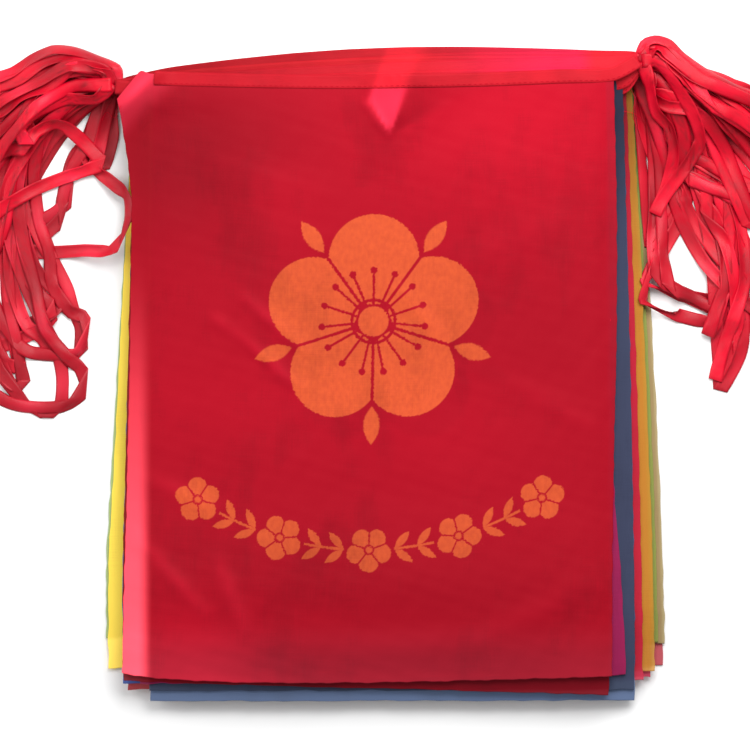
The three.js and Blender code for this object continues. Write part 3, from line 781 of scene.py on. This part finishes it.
# The ribbon sewn along a flag's head, over the edge of its cloth and carried on to the hanks: a strip whose
# cross lines stand square to the head line. It lies on its cloth, and past the cloth at its CAD height.
def headBand(index, headLine, slotOfCloth):
    b = bands
    number = f"{index + 1:02d}"
    line = smoothLine(headLine, b["step"], b["ease"])
    side = leftOf(unit(np.gradient(line, axis=0)))[None]
    across = np.linspace(-0.5, 0.5, 7)[:, None, None] * pile["ribbonWidth"]
    places = line[None] + side * across
    x, y = places[..., 0], places[..., 1]
    inner = line[None] + side * across * 0.8
    far = topOf(["header_" + number], inner[..., 0], inner[..., 1])
    far = soften(fillGaps(far), 6) - pile["cadCloth"] / 2 + pileWaves(x, y)
    u, v = sharesOn(index, x, y)
    beside = np.maximum(-u, u - 1) * pile["flagWidth"]
    lift = pile["cloth"] / 2 + pile["ribbon"] / 2 + b["lift"]
    z = mix(onCloth(index, u, v), far, smoothStep(beside / b["over"])) + lift
    z = clearOfBelow(index, x, y, z, pile["ribbon"])
    backing = np.array(linear(clothColours[slotOfCloth])[:3])
    under = b["backing"] * mix(backing, colourUnder(index, x, y), 0.2)
    _, lit, dark = pinchParts(x, y)
    # Painted light: lighter towards the right and more pink there on the lower bands, with the pinch's
    # painted light and shade
    spread = smoothStep((x + 110) / 240)
    if index == len(flagRows):
        tone = mix(*b["topPaintedLight"], spread)
        paintedPinkLight = 0 * x
    else:
        tone = (b["tone"] + b["toneStep"] * (index % 3)) * mix(*b["toneSpread"], spread)
        paintedPinkLight = smoothStep((x - 20) / 90) * (1 - smoothStep((x - 116) / 12))
    tone = tone * (1 + b["lit"] * lit - b["dark"] * dark)
    tone = np.stack([tone, tone * b["green"], tone * (b["blue"] + b["paintedPinkLight"] * paintedPinkLight)], -1)
    ahead = np.arange(len(line)) * b["step"]
    obj = gridObject("band_" + number, x, y, z, across[..., 0], ahead[None], under, tone)
    finishSheet(obj, pile["ribbon"], ribbonMaterials["band"], "ribbon", "header_" + number)
    seams.append(np.stack([x[1], y[1], z[1] + pile["ribbon"] / 2], 1))


# The hanks: where each gathers, and the route of every loop of ribbon out of that place and back to it,
# lowest loop first. A route is a few stretches: each starts where the one before it ends, and there the
# ribbon is folded over. An echo is a further loop under a loop, drawn in towards the gather and turned a
# little; the loops numbered in single have none.
hankLook = {
    "step": 2.2, "width": 8.0, "thick": 0.2, "gap": 0.02, "slope": 0.5, "roll": 16.0, "mostRoll": 0.9,
    "foldLift": 0.45, "foldBack": 0.35, "foldOut": 0.12, "foldFlat": 9.0, "endFlat": 16.0, "spread": 2.4,
    "cell": 1.0, "halfX": 272, "halfY": 210, "wobble": 0.07, "longWobble": 21.0, "shortWobble": 9.0,
    "lean": 0.9, "bear": 0.75, "ease": 0.7, "cover": 0.5, "rootLow": 2.0, "rootHigh": 21.0, "rootReach": 20.0,
    "clearRoot": 15.0, "echoShort": 0.82, "echoLong": 0.96, "echoTurn": 0.06, "echoShift": 2.0, "curl": 0.75,
    "curlPitch": 27.0, "shade": 0.52, "shadeCount": 4.0, "toneSpread": 0.16, "depthShade": 0.14, "gleam": 0.3,
    "gleamPitch": 9.0, "gleamLight": (0.45, 0.3, 0.5), "pale": 0.26, "deep": (0.2, 0.0, 0.01),
}
leftLoops = [
    [[(-153, 152), (-152, 139), (-155, 126), (-159, 118)], [(-167, 124), (-166, 137), (-159, 154)]],
    [[(-160, 153), (-166, 136), (-177, 117), (-181, 102), (-180, 92)], [(-193, 80), (-214, 69), (-229, 62)],
     [(-225, 87), (-208, 118), (-182, 147), (-163, 160)]],
    [[(-156, 147), (-160, 130), (-162, 120), (-153, 112), (-143, 103), (-142, 91), (-145, 79)],
     [(-151, 72), (-168, 72), (-191, 71), (-214, 74)], [(-220, 93), (-208, 120), (-186, 146), (-166, 159)]],
    [[(-166, 156), (-188, 136), (-203, 107), (-207, 78), (-199, 53), (-185, 38)],
     [(-192, 28), (-208, 20), (-227, 13)], [(-230, 49), (-221, 95), (-199, 136), (-171, 161)]],
    [[(-168, 159), (-191, 141), (-208, 113), (-214, 78), (-212, 43), (-208, 20), (-203, -7)],
     [(-211, -5), (-220, 17), (-226, 49), (-222, 89), (-206, 130), (-177, 160)]],
    [[(-170, 163), (-193, 148), (-210, 118), (-211, 78), (-201, 49), (-191, 28), (-184, 14), (-181, -1),
      (-182, -21)],
     [(-201, -21)], [(-209, -9), (-218, 3), (-228, 32), (-230, 72), (-222, 113), (-201, 147), (-174, 167)]],
    [[(-173, 166), (-197, 145), (-207, 107), (-203, 72), (-196, 49), (-191, 27), (-178, 10), (-171, 4),
      (-167, -5)],
     [(-176, -17), (-192, -19), (-210, -17), (-225, -8)],
     [(-234, 26), (-234, 72), (-225, 113), (-204, 152), (-175, 170)]],
    [[(-167, 167), (-191, 161), (-213, 141), (-230, 113), (-241, 78), (-240, 23)],
     [(-229, 43), (-220, 78), (-211, 113), (-193, 141), (-168, 162)]],
    [[(-161, 174), (-182, 176), (-204, 166), (-225, 147), (-242, 121), (-251, 81)],
     [(-237, 94), (-222, 118), (-204, 143), (-181, 161), (-161, 167)]],
    [[(-159, 176), (-178, 181), (-199, 177), (-219, 165), (-238, 143), (-251, 113)],
     [(-234, 124), (-215, 143), (-195, 160), (-173, 170), (-159, 169)]],
    [[(-156, 177), (-171, 184), (-188, 185), (-206, 176), (-228, 161), (-250, 136)],
     [(-234, 138), (-216, 152), (-197, 166), (-176, 175), (-158, 171)]],
    [[(-154, 171), (-168, 176), (-182, 173), (-196, 161), (-204, 145), (-200, 130)],
     [(-212, 130), (-227, 121), (-242, 103)],
     [(-236, 124), (-221, 147), (-199, 169), (-176, 181), (-152, 174)]],
    [[(-148, 177), (-161, 183), (-173, 187), (-186, 188), (-198, 183), (-210, 175), (-229, 168),
      (-247, 153)],
     [(-230, 152), (-212, 160), (-193, 169), (-176, 178), (-156, 175)]],
    [[(-161, 159), (-178, 159), (-193, 152), (-204, 141), (-201, 133)],
     [(-196, 140), (-186, 145), (-180, 144), (-170, 136), (-157, 122)],
     [(-175, 116), (-196, 108), (-216, 96), (-236, 79)],
     [(-231, 103), (-219, 126), (-198, 152), (-174, 166), (-155, 167)]],
]
rightLoops = [
    [[(153, 168), (153, 150), (154.5, 132), (156, 112), (158, 92), (160, 74)],
     [(162.5, 96), (162.5, 122), (159, 150)]],
    [[(154, 168), (153, 156), (155, 144), (161, 128), (166, 112), (168, 92)],
     [(172, 112), (172, 135), (164, 160)]],
    [[(155, 163), (160, 147), (167, 130), (181, 107), (175, 87), (165, 69), (156, 55)],
     [(156, 42), (165, 38)], [(178, 34), (195, 31), (208, 43), (210, 65), (195, 107), (169, 156)]],
    [[(156, 169), (160, 153), (165, 124), (166, 95), (167, 72), (170, 49)],
     [(180, 47), (191, 41), (210, 33)], [(212, 51), (205, 80), (188, 124), (167, 161)]],
    [[(159, 168), (169, 147), (185, 113), (194, 74), (197, 38), (200, -9)],
     [(212, 14), (213, 43), (208, 84), (190, 130), (166, 168)]],
    [[(154, 165), (160, 150), (165, 136), (170, 117), (173, 101), (182, 80), (191, 65), (205, 49),
      (228, 33)],
     [(237, 43), (229, 78), (208, 118), (182, 153), (162, 173)]],
    [[(159, 175), (171, 159), (188, 130), (204, 89), (222, 49), (245, -3)],
     [(252, 13), (245, 49), (226, 89), (199, 136), (169, 171)]],
    [[(161, 174), (174, 161), (186, 136), (191, 113), (192, 88)],
     [(201, 80), (206, 65), (209, 43), (210, 18)], [(203, 8), (197, -3)],
     [(201, 14), (207, 31), (214, 55), (211, 89), (195, 132), (170, 170)]],
    [[(156, 174), (165, 161), (173, 145), (175, 129)], [(191, 123), (216, 110), (245, 94)],
     [(240, 110), (218, 136), (191, 159), (166, 176)]],
    [[(159, 176), (169, 161), (178, 141), (178, 115)], [(192, 109), (216, 101), (249, 78)],
     [(245, 96), (225, 124), (197, 152), (169, 175)]],
    [[(159, 171), (160, 161), (169, 155), (182, 153), (193, 145), (203, 130), (214, 103), (231, 65)],
     [(245, 78), (242, 103), (222, 130), (195, 152), (169, 177)]],
    [[(165, 181), (178, 170), (193, 156), (211, 143), (231, 124), (250, 98)],
     [(240, 115), (218, 139), (191, 161), (167, 178)]],
    [[(160, 186), (171, 181), (182, 168), (191, 159), (208, 150), (230, 138), (251, 118)],
     [(236, 139), (213, 153), (188, 168), (165, 183)]],
    [[(159, 190), (169, 184), (176, 177), (184, 168), (192, 156)], [(212, 147), (234, 130), (252, 107)],
     [(241, 132), (215, 155), (188, 174), (162, 188)]],
    [[(156, 191), (162, 193), (169, 191), (176, 184), (188, 176), (205, 167), (226, 159), (250, 148)],
     [(233, 152), (212, 160), (188, 170), (162, 189)]],
    [[(155, 178), (158, 168), (162, 152), (170, 143), (173, 129), (169, 109), (162, 93)],
     [(167, 103), (178, 118), (188, 136), (182, 153), (162, 180)]],
]
hanks = {
    "left": {"gather": (-151.5, 166.0), "seed": 11, "tone": 0.9, "single": (0, 2, 13), "loops": leftLoops},
    "right": {"gather": (153.5, 181.0), "seed": 23, "tone": 1.08, "single": (0, 1, 15), "loops": rightLoops},
}


# The stretches of a loop with the places where they start
def wholeStretches(loop):
    return [loop[0]] + [[before[-1]] + run for before, run in zip(loop, loop[1:])]


# Height of what already lies at each place, a raster that each stretch of ribbon is laid on
def heapIndex(x, y):
    h = hankLook
    column = np.clip(((x + h["halfX"]) / h["cell"]).astype(int), 0, int(2 * h["halfX"] / h["cell"]) - 1)
    row = np.clip(((y + h["halfY"]) / h["cell"]).astype(int), 0, int(2 * h["halfY"] / h["cell"]) - 1)
    return row, column


# The same across a ribbon, at shares of its half width to both sides
def indexAcross(middle, cross, count, half=1.0):
    reach = np.linspace(-1, 1, count)[:, None] * half
    return heapIndex(middle[:, 0] + cross[:, 0] * reach, middle[:, 1] + cross[:, 1] * reach)


# The heap of the laid cloths below the top one; at the gathers it is kept clear
def startHeap():
    h = hankLook
    across, along = [np.arange(-half, half, h["cell"]) + h["cell"] / 2 for half in (h["halfX"], h["halfY"])]
    x, y = np.meshgrid(across, along)
    base = clearOfBelow(len(flagRows), x, y, np.zeros(x.shape), pile["cloth"])
    for hank in hanks.values():
        away = np.hypot(x - hank["gather"][0], y - hank["gather"][1])
        base = base * (away > h["clearRoot"])
    return base


# Values along a line, each taken as the mean of its neighbours under a bell
def smoothed(values, reach):
    kernel = np.hanning(2 * reach + 3)[1:-1]
    return np.convolve(np.pad(values, reach, mode="edge"), kernel / kernel.sum(), "valid")


# How a ribbon is rolled about its own line: with the heap under it, and up towards its edge where the route
# bends, to the side that nests better; flat near a fold and at the gather
def rollOf(line, side, heap, start, phase, folded):
    h = hankLook
    along = unit(np.gradient(line, axis=0))
    bend = smoothed(np.gradient(np.unwrap(np.arctan2(along[:, 1], along[:, 0]))) / h["step"], 3)
    at = np.arange(len(line)) * h["step"]
    half = h["width"] / 2
    reach = np.linspace(-1, 1, 7)[:, None] * half
    under = heap[indexAcross(line, side, 7, half)]
    slope = smoothed((under * reach).sum(0) / (reach**2).sum(), 3)
    lean = np.clip(np.arctan(slope), -h["lean"], h["lean"])
    wobble = np.sin((start + at) / h["longWobble"] + phase)
    wobble = h["wobble"] * (wobble + 0.5 * np.sin((start + at) / h["shortWobble"] + 2 * phase))
    turned = smoothed(np.where(smoothed(lean + wobble, 6) < 0, -1.0, 1.0), 4)
    most = h["mostRoll"] * (1 - np.exp(-((bend * h["roll"]) ** 2)))
    roll = lean + wobble + turned * np.maximum(most - np.abs(lean), 0)
    for isFold, away in zip(folded, (at, at[-1] - at)):
        roll = roll * (smoothStep((away - 2) / h["foldFlat"]) if isFold else smoothStep(away / h["endFlat"]))
    return roll


# The line on which a ribbon is folded over between two headings: it halves the turn, and it is longer than
# the ribbon is wide. With it comes how far back from it the ribbon's sides are cut off by it.
def foldLine(before, after):
    half = hankLook["width"] / 2
    left = leftOf(before)
    crease = unit(left - leftOf(after))
    lean = max(float(crease @ left), 0.45)
    return crease * half / lean, half * abs(float(crease @ before)) / lean + 0.5


# Marks a stretch of ribbon on the heap, but for the last bit before a fold
def markHeap(heap, middle, cross, folded):
    h = hankLook
    last = len(middle) - 1
    t = np.linspace(0, last - (h["width"] / h["step"] if folded and last > 6 else 0), 4 * len(middle))
    k = np.minimum(t.astype(int), last - 1)
    f = (t - k)[:, None]
    dense, reach = mix(middle[k], middle[k + 1], f), mix(cross[k], cross[k + 1], f)
    for share in np.linspace(-1, 1, 13):
        p = dense + share * reach
        np.maximum.at(heap, heapIndex(p[:, 0], p[:, 1]), p[:, 2] + h["thick"] / 2)


# Marks how many ribbons cover each place
def markLayers(layers, middle, cross):
    rows, columns = indexAcross(middle, cross, 9)
    touched = np.unique(np.stack([rows.ravel(), columns.ravel()]), axis=1)
    layers[touched[0], touched[1]] += 1


# Colour under a ribbon at places with a number of ribbons below: pale for none, deep red for many
def underRibbon(layers, place):
    h = hankLook
    count = layers[heapIndex(place[..., 0], place[..., 1])]
    return mix(np.array(h["deep"]), np.full(3, h["pale"]), (h["cover"] ** count)[..., None])


# One loop of ribbon as its middles, half cross lines and room to curl, laid stretch by stretch on the heap.
# Its two ends are at the given heights at the gather.
def layLoop(heap, gather, stretches, rootHeights, rng):
    h = hankLook
    half = h["width"] / 2
    runs = [list(s) for s in stretches]
    runs[0] = [tuple(gather + [0, rng.uniform(-h["spread"], h["spread"])])] + runs[0]
    runs[-1] = runs[-1] + [tuple(gather + [0, rng.uniform(-h["spread"], h["spread"])])]
    lines = [smoothLine(run, h["step"], h["ease"]) for run in runs]
    sign = rng.choice([-1.0, 1.0])
    phase = rng.uniform(0, 2 * np.pi)
    middles, crosses, eases = [], [], []
    travelled, height, fold = 0.0, None, None
    for number, line in enumerate(lines):
        folded = (number > 0, number < len(lines) - 1)
        along = unit(np.gradient(line, axis=0))
        side = leftOf(along) * sign
        roll = rollOf(line, side, heap, travelled, phase, folded)
        at = np.arange(len(line)) * h["step"]
        travelled += at[-1]
        cross = np.concatenate([side * half * np.cos(roll)[:, None], half * np.sin(roll)[:, None]], 1)
        room = heap[indexAcross(line, cross, 7)] - cross[:, 2] * np.linspace(-1, 1, 7)[:, None]
        need = np.quantile(room, h["bear"], axis=0) + h["gap"] + h["thick"]
        toRoot = np.linalg.norm(line - gather, axis=1)
        if not (folded[0] and folded[1]):
            rootHeight = rootHeights[0 if number == 0 else 1]
            need = mix(rootHeight, need, smoothStep((toRoot - 3) / h["rootReach"]))
        if height is not None:
            need[0] = max(need[0], height + h["foldLift"])
        away = np.abs(at[:, None] - at[None, :])
        held = (need[None, :] - h["slope"] * np.maximum(away - 4, 0)).max(1)
        z = np.maximum(smoothed(held, 3), held - 0.1)
        middle = np.concatenate([line, z[:, None]], 1)
        trims = [0.0, 0.0]
        if fold is not None:
            trims[0] = fold["trim"]
            outward = unit(fold["before"] - along[0])
            for shift, level in (
                (-fold["before"] * h["foldBack"], height),
                (outward * h["foldOut"], (height + z[0]) / 2),
                (along[0] * h["foldBack"], z[0]),
            ):
                middles.append(np.append(line[0] + shift, level)[None])
                crosses.append(np.append(fold["crease"], 0.0)[None])
                eases.append(np.zeros(1))
        height, fold = z[-1], None
        if folded[1]:
            ahead = unit(lines[number + 1][1] - lines[number + 1][0])
            crease, trims[1] = foldLine(along[-1], ahead)
            fold = {"crease": crease * sign, "trim": trims[1], "before": along[-1]}
        keep = np.flatnonzero((at >= trims[0]) & (at <= at[-1] - trims[1]))
        if len(keep) < 2:
            keep = np.array([len(at) // 2 - 1, len(at) // 2])
        middles.append(middle[keep])
        crosses.append(cross[keep])
        free = smoothStep((at - 3) / h["foldFlat"]) * smoothStep((at[-1] - at - 3) / h["foldFlat"])
        eases.append(free[keep])
        markHeap(heap, middle, cross, folded[1])
        sign = -sign
    return np.concatenate(middles), np.concatenate(crosses), np.concatenate(eases)


# A ribbon with an arc across its width: the half cross line is bent to the angle given at each place
def curled(middle, cross, angle, spans):
    along = unit(np.gradient(middle, axis=0))
    up = np.cross(along, unit(cross)) * np.linalg.norm(cross, axis=1)[:, None]
    angle = np.where(np.abs(angle) < 0.01, 0.01, angle)[:, None]
    out, rise = np.sin(angle * spans) / angle, (1 - np.cos(angle * spans)) / angle
    rise = rise - rise.mean(1, keepdims=True)
    return middle[:, None] + cross[:, None] * out[..., None] + up[:, None] * rise[..., None]


# A loop drawn in towards the gather and turned about it, its places shifted a little
def echoOf(gather, stretches, rng):
    h = hankLook
    short, turn = rng.uniform(h["echoShort"], h["echoLong"]), rng.uniform(-h["echoTurn"], h["echoTurn"])
    spin = np.array([[np.cos(turn), np.sin(turn)], [-np.sin(turn), np.cos(turn)]]) * short
    moved = []
    for run in stretches:
        places = (np.array(run, float) - gather) @ spin + gather
        places[1:-1] += rng.uniform(-h["echoShift"], h["echoShift"], (len(places) - 2, 2))
        moved.append([tuple(p) for p in places])
    return moved


def hankRibbon(name, hank, heap):
    h = hankLook
    rng = np.random.default_rng(hank["seed"])
    gather = np.array(hank["gather"])
    routes = []
    for number, stretches in enumerate(map(wholeStretches, hank["loops"])):
        echo = [] if number in hank["single"] else [echoOf(gather, stretches, rng)]
        routes += echo + [stretches]
    layers = np.zeros(heap.shape)
    levels = np.linspace(h["rootLow"], h["rootHigh"], 2 * len(routes))
    spans = np.linspace(-1, 1, 7)
    parts = {key: [] for key in ("points", "faces", "flat", "under", "count", "tone")}
    first, length = 0, 0.0
    for number, stretches in enumerate(routes):
        middle, cross, ease = layLoop(heap, gather, stretches, levels[2 * number:2 * number + 2], rng)
        far = farAlong(middle)
        place = curled(middle, cross, ease * h["curl"] * np.sin(far / h["curlPitch"] + number), spans)
        place[..., 2] = np.maximum(place[..., 2], h["thick"] * 0.6)
        under = underRibbon(layers, place)
        markLayers(layers, middle, cross)
        # Painted shade: the lower loops darker and the upper ones lighter, on a tone that differs at random
        # from loop to loop
        rise = h["depthShade"] * (2 * number / len(routes) - 1)
        tone = hank["tone"] + rng.uniform(-1, 1) * h["toneSpread"] + rise
        # Painted highlights that come and go along each ribbon, as pink light and a lighter tone
        gleam = np.sin(far / h["gleamPitch"] + 2.1 * number) * np.sin(far / (2.9 * h["gleamPitch"]) + number)
        under = under + (np.clip(gleam, 0, 1) ** 2)[:, None, None] * np.array(h["gleamLight"])
        flat = np.stack(np.broadcast_arrays(spans * h["width"] / 2, length + far[:, None]), -1)
        parts["points"].append(place.reshape(-1, 3))
        parts["faces"].append(gridFaces(len(middle), len(spans), first))
        parts["flat"].append(flat.reshape(-1, 2))
        parts["under"].append(under.reshape(-1, 3))
        parts["count"].append(layers[heapIndex(place[..., 0], place[..., 1])].ravel())
        parts["tone"].append(np.repeat(tone * (1 + h["gleam"] * gleam), len(spans)))
        first += len(middle) * len(spans)
        length += far[-1]
    whole = {key: np.concatenate(values) for key, values in parts.items()}
    points = whole["points"]
    # Painted shade: darker where more ribbons lie over a place close by
    above = soften(layers, 2)[heapIndex(points[:, 0], points[:, 1])] - whole["count"]
    tone = whole["tone"] * (1 - h["shade"] * smoothStep((above + 0.5) / h["shadeCount"]))
    colours = {"under": whole["under"], "tone": np.repeat(tone[:, None], 3, axis=1)}
    obj = meshObject("ribbon_" + name, points, whole["faces"], whole["flat"], colours)
    finishSheet(obj, h["thick"], ribbonMaterials["hank"], "ribbon", "hank_" + name)
    print("hank", name, "ribbon length", round(length), "mm, top", round(float(points[:, 2].max()), 1))


# Sewing along the header ribbons: short stitches in a row, each a little spindle, and a few loose thread ends
sewing = {
    "pitch": 3.2, "long": 2.1, "wide": 0.34, "high": 0.2, "sides": 5, "rings": 5, "sewnTone": 0.8,
    "looseTone": 1.7, "looseLift": 0.4,
}
threadEnds = [
    [(138.3, 62), (139.2, 52), (137.6, 42), (135.4, 31)], [(143.5, 152), (149, 151.4), (154, 148.6)],
    [(146, 168), (150, 160), (149, 150), (153, 141)], [(-146, 155), (-151, 149), (-155, 152), (-158, 147)],
]


# Directions to the side of a heading and up from it
def besideAndUp(along):
    aside = unit(np.cross([0, 0, 1.0], along))
    return aside, np.cross(along, aside)


# The rings of a row of stitches, each stitch drawn thin towards its ends
def stitchRow(places):
    s = sewing
    far = farAlong(places)
    at = np.arange(s["pitch"], far[-1] - s["pitch"], s["pitch"])
    middle = placesAt(at, far, places)
    along = unit(placesAt(at + 1, far, places) - middle)
    turns = np.linspace(0, 2 * np.pi, s["sides"], endpoint=False)
    t, a = np.meshgrid(np.linspace(-1, 1, s["rings"]), turns, indexing="ij")
    girth = np.sqrt(np.maximum(1 - t**2, 0.02))
    local = [t * s["long"] / 2, np.cos(a) * girth * s["wide"] / 2, np.sin(a) * girth * s["high"] / 2]
    axes = np.stack([along, *besideAndUp(along)], 1)
    return middle[:, None, None] + np.einsum("rsi,nij->nrsj", np.stack(local, -1), axes)


# A loose thread end on whatever lies under it, as rings
def looseEnd(route):
    s = sewing
    index = len(flagRows)
    line = smoothLine(route, 1.0)
    x, y = line[:, 0], line[:, 1]
    u, v = sharesOn(index, x, y)
    onTop = (u > 0) & (u < 1) & (v > 0) & (v < 1)
    ground = np.where(onTop, onCloth(index, np.clip(u, 0, 1), np.clip(v, 0, 1)), heap[heapIndex(x, y)])
    middle = np.concatenate([line, (smoothed(ground, 3) + s["looseLift"])[:, None]], 1)
    aside, up = besideAndUp(unit(np.gradient(middle, axis=0)))
    a = np.linspace(0, 2 * np.pi, s["sides"], endpoint=False)[None, :, None]
    return middle[:, None] + (np.cos(a) * aside[:, None] + np.sin(a) * up[:, None]) * s["wide"] / 3


# Quads of a tube around its rings, open at both ends
def tubeFaces(rings, sides, first):
    k = first + np.arange(rings * sides).reshape(rings, sides)
    around = np.roll(k, -1, axis=1)
    return np.stack([k[:-1], around[:-1], around[1:], k[1:]], -1).reshape(-1, 4)


def sewThread():
    s = sewing
    tubes = [(rings, s["sewnTone"]) for places in seams for rings in stitchRow(places)]
    tubes += [(looseEnd(route), s["looseTone"]) for route in threadEnds]
    points, faces, tones, first = [], [], [], 0
    for rings, tone in tubes:
        faces.append(tubeFaces(len(rings), s["sides"], first))
        points.append(rings.reshape(-1, 3))
        tones.append(np.full(points[-1].shape, tone))
        first += len(points[-1])
    places = np.concatenate(points)
    colours = {"tone": np.concatenate(tones)}
    obj = meshObject("seam_thread", places, np.concatenate(faces), places[:, :2], colours)
    obj.data.materials.append(ribbonMaterials["thread"])
    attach(obj, "root")


# Build
clothMaterials = {name: clothMaterial(name, colour, False) for name, colour in clothColours.items()}
clothMaterials["printed"] = clothMaterial("printed_red_cloth", clothColours["red_cloth"], True)
ribbonMaterials = {name: ribbonMaterial(name) for name in ribbonLook["shine"]}
seams, clothGrids = [], {}
print("materials made")

for index, row in enumerate(flagRows):
    flagSheet(index, row)
topSheet()
print("flags laid")

for index, row in enumerate(flagRows):
    u = np.linspace(0, 1, 9)
    headY = headEdge(row, u)
    headX = acrossX(row, u, headY)
    line = [roots["left"]] + list(zip(headX, headY - pile["ribbonWidth"] / 2)) + [roots["right"]]
    if headX[0] < roots["left"][0] + 2:
        line = line[1:]
    headBand(index, line, row["slot"])
topX = np.linspace(topFlag["ribbonFrom"], topFlag["right"], 9)
topLine = list(zip(topX, topHead(topX) - pile["ribbonWidth"] / 2)) + [roots["right"]]
headBand(len(flagRows), topLine, topFlag["slot"])
print("header ribbons sewn")

heap = startHeap()
for name, hank in hanks.items():
    hankRibbon(name, hank, heap)
sewThread()
print("hanks laid and seams sewn")

# Floor, light and camera
view = {
    "frame": 0.433, "distance": 3.4, "sensor": 36.0, "level": 0.012, "world": 0.48, "floor": 0.9,
    "floorHalf": 3000.0, "floorZ": -0.3,
}
corners = [(-1, -1), (1, -1), (1, 1), (-1, 1)]
floorPoints = [(x * view["floorHalf"], y * view["floorHalf"], view["floorZ"]) for x, y in corners]
floor = meshObject("floor", np.array(floorPoints), np.array([[0, 1, 2, 3]]))
floorMaterial = bpy.data.materials.new("floor")
floorMaterial.use_nodes = True
floorShader = floorMaterial.node_tree.nodes["Principled BSDF"]
floorShader.inputs["Base Color"].default_value = [view["floor"]] * 3 + [1]
floorShader.inputs["Roughness"].default_value = 0.8
floor.data.materials.append(floorMaterial)

world = bpy.data.worlds.new("studio")
world.use_nodes = True
world.node_tree.nodes["Background"].inputs["Color"].default_value = (1, 1, 1, 1)
world.node_tree.nodes["Background"].inputs["Strength"].default_value = view["world"]
bpy.context.scene.world = world

lighting = [
    {"name": "key", "at": (0.24, 0.64, 0.84), "size": 0.75, "power": 15.5},
    {"name": "fill", "at": (-0.75, 0.25, 0.65), "size": 0.7, "power": 4.0},
]
for row in lighting:
    lamp = bpy.data.lights.new(row["name"], "AREA")
    lamp.size = row["size"]
    lamp.energy = row["power"]
    holder = bpy.data.objects.new(row["name"], lamp)
    holder.location = row["at"]
    holder.rotation_euler = (-Vector(row["at"])).to_track_quat("-Z", "Y").to_euler()
    bpy.context.scene.collection.objects.link(holder)

camera = bpy.data.cameras.new("camera")
camera.sensor_width = view["sensor"]
camera.lens = view["sensor"] * view["distance"] / view["frame"]
eye = bpy.data.objects.new("camera", camera)
eye.location = (0, 0, view["distance"] + view["level"])
bpy.context.scene.collection.objects.link(eye)
bpy.context.scene.camera = eye
bpy.context.scene.view_settings.view_transform = "Standard"
